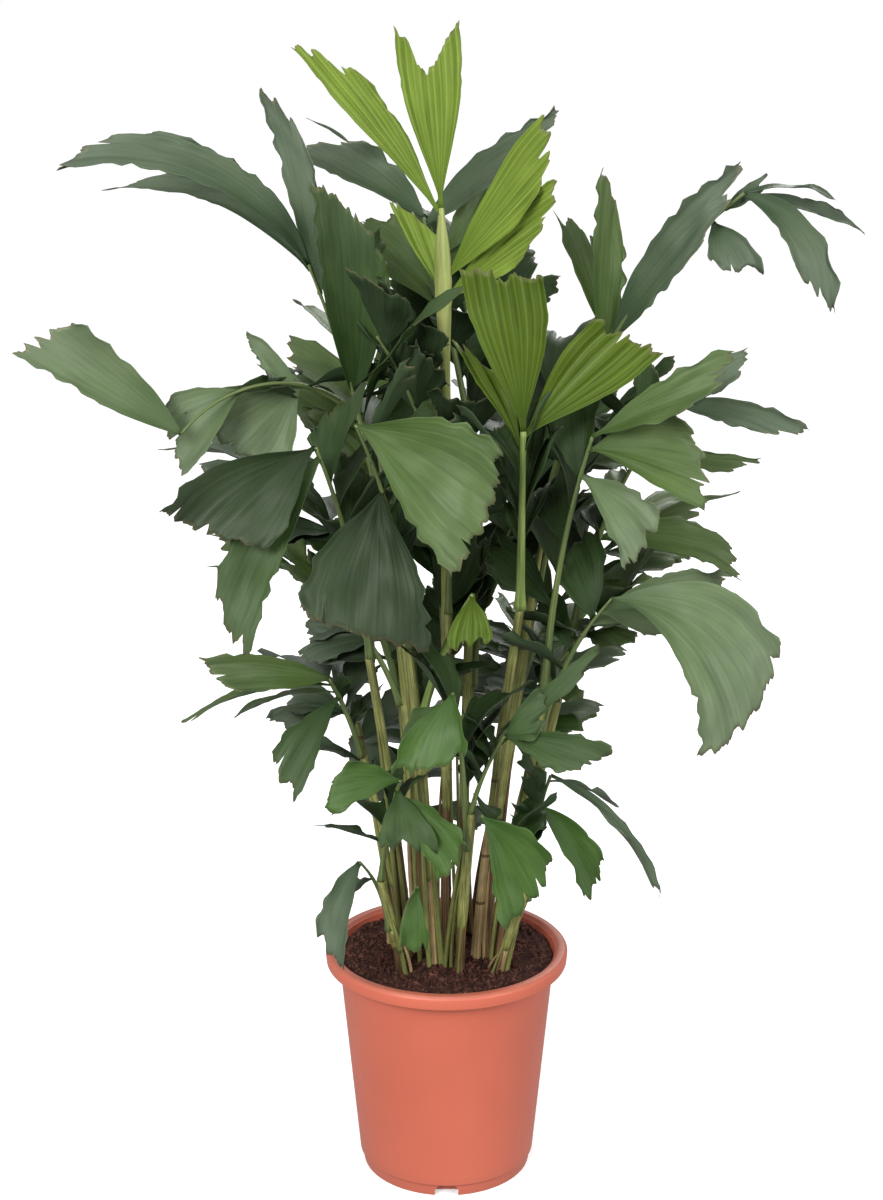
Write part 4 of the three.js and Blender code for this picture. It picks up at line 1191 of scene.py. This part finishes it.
def blade_material(name, colours, roughness, rib, specular, bloom_and_sheen):
    """A leaflet's skin: ribs that fan out along the blade, between deeper and lighter green, with painted
    shade at its foot and a waxy bloom with painted sheen towards its end, whose rim is dry and brown in
    places."""
    deep, light, vein = colours
    material = make_material(name, light, roughness, specular)
    material.node_tree.nodes["Principled BSDF"].inputs["Specular Tint"].default_value = (*SHEEN_TINT, 1)
    place = surface_place(material, 1.0, 0.05)
    broad = bands_across(material, place, 3.2, 1.6, 2.0, 1.5)
    line = bands_across(material, place, 9.0, 0.8, 2.0, 2.0)
    fine = bands_across(material, place, 30.0, 0.4, 1.0)
    cloud = noise_of(material, object_place(material), scale=12.0)
    streak = noise_of(material, surface_place(material, 7.0, 1.4), scale=1.6, detail=4.0, rough=0.6)
    skin = ramp(material, mix_colours(material, 0.5, cloud, streak), [(0.36, deep), (0.64, light)])
    ribbed = ramp(material, broad, [(0.70, (0, 0, 0)), (0.98, (rib, rib, rib))])
    for share in (spread(material, line, 0.0, 0.07), ribbed, spread(material, fine, 0.0, 0.08)):
        skin = mix_colours(material, share, skin, (*vein, 1))
    blade = add_node(material, "ShaderNodeSeparateXYZ", {"Vector": surface_place(material, 1.0, 1.0)})
    outward = blade.outputs["Y"]
    # Painted shade: the blade turns towards its deep green near its foot.
    shade = spread(material, outward, FOOT_SHADE, 0, 0, FOOT_SHADE_END)
    skin = mix_colours(material, shade, skin, (*deep, 1))
    # Partly painted sheen: a pale waxy bloom that grows towards the blade's end.
    bloom_and_sheen_mix = spread(material, outward, 0, bloom_and_sheen, BLOOM_AND_SHEEN_FROM, 1)
    skin = mix_colours(material, bloom_and_sheen_mix, skin, (*BLOOM_AND_SHEEN_COLOUR, 1))
    ragged = spread(material, noise_of(material, object_place(material), 45.0, 2.0), -0.6, 1.6)
    dry = calculate(material, "MULTIPLY", spread(material, outward, 0, DRY, DRY_FROM, 1), ragged)
    join_shader(material, "Base Color", mix_colours(material, dry, skin, (*DRY_COLOUR, 1)))
    join_shader(material, "Roughness", spread(material, streak, roughness - 0.08, roughness + 0.10))
    strips = bump(material, line, 0.08, 0.5, bump(material, broad, 0.12, 0.4))
    join_shader(material, "Normal", bump(material, fine, 0.05, 0.5, strips))
    return material


# Each green has a deep, a light and a vein colour. Greens are dealt out by frond and by leaflet: blue-grey
# on the oldest, paler where the front ones face the light, as painted light, dark as painted shade inside
# the clump and under other leaflets, fresh low down, and olive and yellow-green on the young ones.
LEAF_COLOURS = {
    "grey": ((0.028, 0.053, 0.024), (0.070, 0.107, 0.053), (0.14, 0.18, 0.10)),
    "pale": ((0.064, 0.106, 0.040), (0.124, 0.178, 0.078), (0.20, 0.26, 0.13)),
    "mid": ((0.032, 0.064, 0.012), (0.078, 0.130, 0.026), (0.14, 0.20, 0.06)),
    "fresh": ((0.020, 0.058, 0.005), (0.054, 0.118, 0.015), (0.11, 0.19, 0.04)),
    "deep": ((0.021, 0.047, 0.012), (0.048, 0.089, 0.022), (0.09, 0.14, 0.04)),
    # The 'dark' and 'shade' greens are painted shade, for leaflets that sit in shadow inside the clump or
    # under others.
    "dark": ((0.009, 0.019, 0.006), (0.023, 0.041, 0.014), (0.05, 0.08, 0.03)),
    "shade": ((0.010, 0.025, 0.006), (0.028, 0.054, 0.014), (0.06, 0.10, 0.03)),
    "olive": ((0.036, 0.068, 0.006), (0.076, 0.124, 0.010), (0.15, 0.21, 0.025)),
    "young": ((0.095, 0.158, 0.018), (0.188, 0.278, 0.038), (0.30, 0.39, 0.07)),
}
UNDER_COLOURS = {
    "grey": ((0.042, 0.068, 0.038), (0.078, 0.110, 0.064), (0.13, 0.17, 0.11)),
    "pale": ((0.068, 0.110, 0.046), (0.110, 0.160, 0.072), (0.18, 0.24, 0.13)),
    "mid": ((0.042, 0.074, 0.028), (0.080, 0.128, 0.050), (0.14, 0.19, 0.09)),
    "fresh": ((0.040, 0.088, 0.020), (0.078, 0.148, 0.036), (0.13, 0.21, 0.07)),
    "deep": ((0.018, 0.046, 0.009), (0.044, 0.088, 0.018), (0.09, 0.14, 0.04)),
    "dark": ((0.020, 0.040, 0.016), (0.044, 0.074, 0.030), (0.08, 0.12, 0.06)),
    "shade": ((0.020, 0.040, 0.016), (0.044, 0.074, 0.030), (0.08, 0.12, 0.06)),
    "olive": ((0.066, 0.115, 0.022), (0.125, 0.190, 0.036), (0.21, 0.30, 0.07)),
    "young": ((0.100, 0.175, 0.024), (0.190, 0.295, 0.048), (0.29, 0.41, 0.09)),
}
GREENS = list(LEAF_COLOURS)
FROND_GREENS = {
    "pale": ("frond_left", "frond_right_low"),
    "mid": ("frond_centre", "frond_right_inner", "frond_left_low", "frond_rear_02", "frond_rear_05",
            "frond_side_left", "frond_side_right"),
    "fresh": ("frond_low_right", "frond_low_centre", "frond_low_left", "frond_low_front",
              "frond_foot_centre", "frond_low_edge", "frond_rear_08"),
    "shade": ("frond_inner_left", "frond_inner_right", "frond_inner_middle", "frond_inner_rear",
              "frond_inner_low", "frond_inner_front", "frond_inner_top", "frond_rear_01", "frond_rear_03"),
    "olive": ("frond_young_front", "frond_small_front"),
    "young": ("frond_top",),
}
LEAFLET_GREENS = {
    "frond_upper_left": {3: "deep", 4: "fresh", 5: "deep"},
    "frond_behind_top": {2: "mid", 3: "mid", 4: "pale"},
    "frond_left": {0: "pale"},
    # Painted shade: the 'dark' green here goes to leaflets that sit in shadow under other leaflets.
    "frond_left_front": {0: "dark", 1: "deep"},
    "frond_centre": {1: "dark"},
    "frond_upper_right": {0: "mid", 1: "mid"},
    "frond_right": {2: "deep", 3: "mid", 4: "mid"},
    "frond_right_inner": {2: "pale"},
    "frond_left_low": {3: "deep"},
    "frond_low_right": {0: "deep", 1: "deep", 2: "deep"},
    "frond_low_centre": {1: "deep"},
    "frond_low_left": {1: "deep"},
    "frond_low_edge": {0: "grey", 1: "grey"},
}
INSIDE_GREEN = 2 * GREENS.index("shade")


def green_of(frond, order=None):
    """The place of a leaflet's green among the materials: its own, or else its frond's."""
    name = frond["name"]
    own = next((green for green, names in FROND_GREENS.items() if name in names), "grey")
    return 2 * GREENS.index(LEAFLET_GREENS.get(name, {}).get(order, own))


blade_materials = []
for green in GREENS:
    rib = YOUNG_RIB_SHOWS if green in ("olive", "young") else RIB_SHOWS
    sheen = SHEEN if green in SHINY else DULL_SHEEN
    for face, colours, roughness in (("_blade", LEAF_COLOURS, TOP_ROUGHNESS),
                                     ("_blade_under", UNDER_COLOURS, UNDER_ROUGHNESS)):
        blade_materials.append(
            blade_material(green + face, colours[green], roughness, rib, sheen, BLOOM_AND_SHEEN_SHARES.get(green, 0)))

LOW_FRONDS_FROM = 10
LEAFLET_PIECES = {
    "young_leaflets": [frond for frond in FRONDS if frond["young"]],
    "front_leaflets": [frond for frond in FRONDS[:LOW_FRONDS_FROM] if not frond["young"]],
    "low_leaflets": [frond for frond in FRONDS[LOW_FRONDS_FROM:] if not frond["young"]],
    "rear_leaflets": [frond for frond in REAR_FRONDS if "_rear_0" in frond["name"]],
    "inner_leaflets": [frond for frond in REAR_FRONDS if "_rear_0" not in frond["name"]],
}
for name, fronds in LEAFLET_PIECES.items():
    bm = new_shape()
    for frond in fronds:
        solid = bmesh.new()
        solid.from_mesh(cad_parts[frond["name"]].data)
        skin = BVHTree.FromBMesh(solid)
        solid.free()
        draw = random.Random(frond["name"])
        rear = frond in REAR_FRONDS
        for order, leaflet in enumerate(frond["leaflets"]):
            swing = swing_of(frond, leaflet, skin)
            if swing:
                green = green_of(frond, order)
                add_leaflet(bm, frond, leaflet, swing, draw, green, COARSER_INSIDE if rear else 1)
        green = green_of(frond) if rear else INSIDE_GREEN
        for leaflet in frond.get("between", ()):
            add_leaflet(bm, frond, leaflet, (0, 0), draw, green, COARSER_INSIDE)
    slot = "young_leaf" if name == "young_leaflets" else "mature_leaf"
    make_piece(name, bm, blade_materials, slot, [frond["name"] for frond in fronds])

# The studio: a plain white floor and an even white surround, a broad light from above, and two large soft
# lamps in front, one at each side, with a weaker one behind.
FLOOR_HALF_SIZE = 30000
FLOOR_COLOUR = (0.92, 0.92, 0.92)
FLOOR_GLOW = 0.38
WHITE = (1, 1, 1, 1)
SURROUND_LIGHT = 0.46
SURROUND_SEEN = 1.0
OVERHEAD = {"tilt": (math.radians(28), math.radians(-12), 0), "strength": 1.05, "soft": math.radians(60)}
LAMPS = {
    "key_lamp": {"place": (-1.4, -2.5, 1.9), "size": 1.3, "power": 62, "sheen": 1},
    "fill_lamp": {"place": (2.0, -2.0, 1.6), "size": 1.5, "power": 40, "sheen": 1},
    "back_lamp": {"place": (0.9, 2.5, 2.2), "size": 1.6, "power": 26, "sheen": 0},
}
AIM = Vector((0, 0, 0.6))

bm = bmesh.new()
bmesh.ops.create_grid(bm, x_segments=1, y_segments=1, size=FLOOR_HALF_SIZE)
floor = link_object("studio_floor", mesh_of("studio_floor", bm))
white = make_material("studio_white", FLOOR_COLOUR, 0.9, 0.1)
shader = white.node_tree.nodes["Principled BSDF"]
shader.inputs["Emission Color"].default_value = WHITE
shader.inputs["Emission Strength"].default_value = FLOOR_GLOW
floor.data.materials.append(white)
floor.visible_diffuse = False
floor.visible_glossy = False

world = bpy.data.worlds.new("studio")
world.use_nodes = True
tree = world.node_tree
surround = tree.nodes["Background"]
surround.inputs["Color"].default_value = WHITE
surround.inputs["Strength"].default_value = SURROUND_LIGHT
seen = add_node(world, "ShaderNodeBackground", {"Color": WHITE, "Strength": SURROUND_SEEN})
to_camera = add_node(world, "ShaderNodeLightPath").outputs["Is Camera Ray"]
choice = add_node(world, "ShaderNodeMixShader", {
    "Fac": to_camera, 1: surround.outputs["Background"], 2: seen.outputs["Background"]})
tree.links.new(choice.outputs["Shader"], tree.nodes["World Output"].inputs["Surface"])
bpy.context.scene.world = world

for name, lamp in LAMPS.items():
    light = bpy.data.lights.new(name, "AREA")
    light.shape = "DISK"
    light.size = lamp["size"]
    light.energy = lamp["power"]
    light.specular_factor = lamp["sheen"]
    holder = link_object(name, light)
    holder.location = lamp["place"]
    holder.rotation_mode = "QUATERNION"
    holder.rotation_quaternion = (AIM - holder.location).to_track_quat("-Z", "Y")
overhead = bpy.data.lights.new("overhead_light", "SUN")
overhead.energy = OVERHEAD["strength"]
overhead.angle = OVERHEAD["soft"]
link_object("overhead_light", overhead).rotation_euler = OVERHEAD["tilt"]

# The camera. It stands about 1.9 m in front of the plant and a little over 1 m above the floor, and looks
# down on the plant by 15 degrees.
CAMERA = {"place": (-0.005, -1.89, 1.09), "tilt": (math.radians(75), 0, 0), "lens": 61.9, "film": 36}
camera = link_object("camera", bpy.data.cameras.new("camera"))
camera.location = CAMERA["place"]
camera.rotation_euler = CAMERA["tilt"]
camera.data.lens = CAMERA["lens"]
camera.data.sensor_width = CAMERA["film"]
bpy.context.scene.camera = camera
bpy.context.scene.view_settings.view_transform = "Standard"
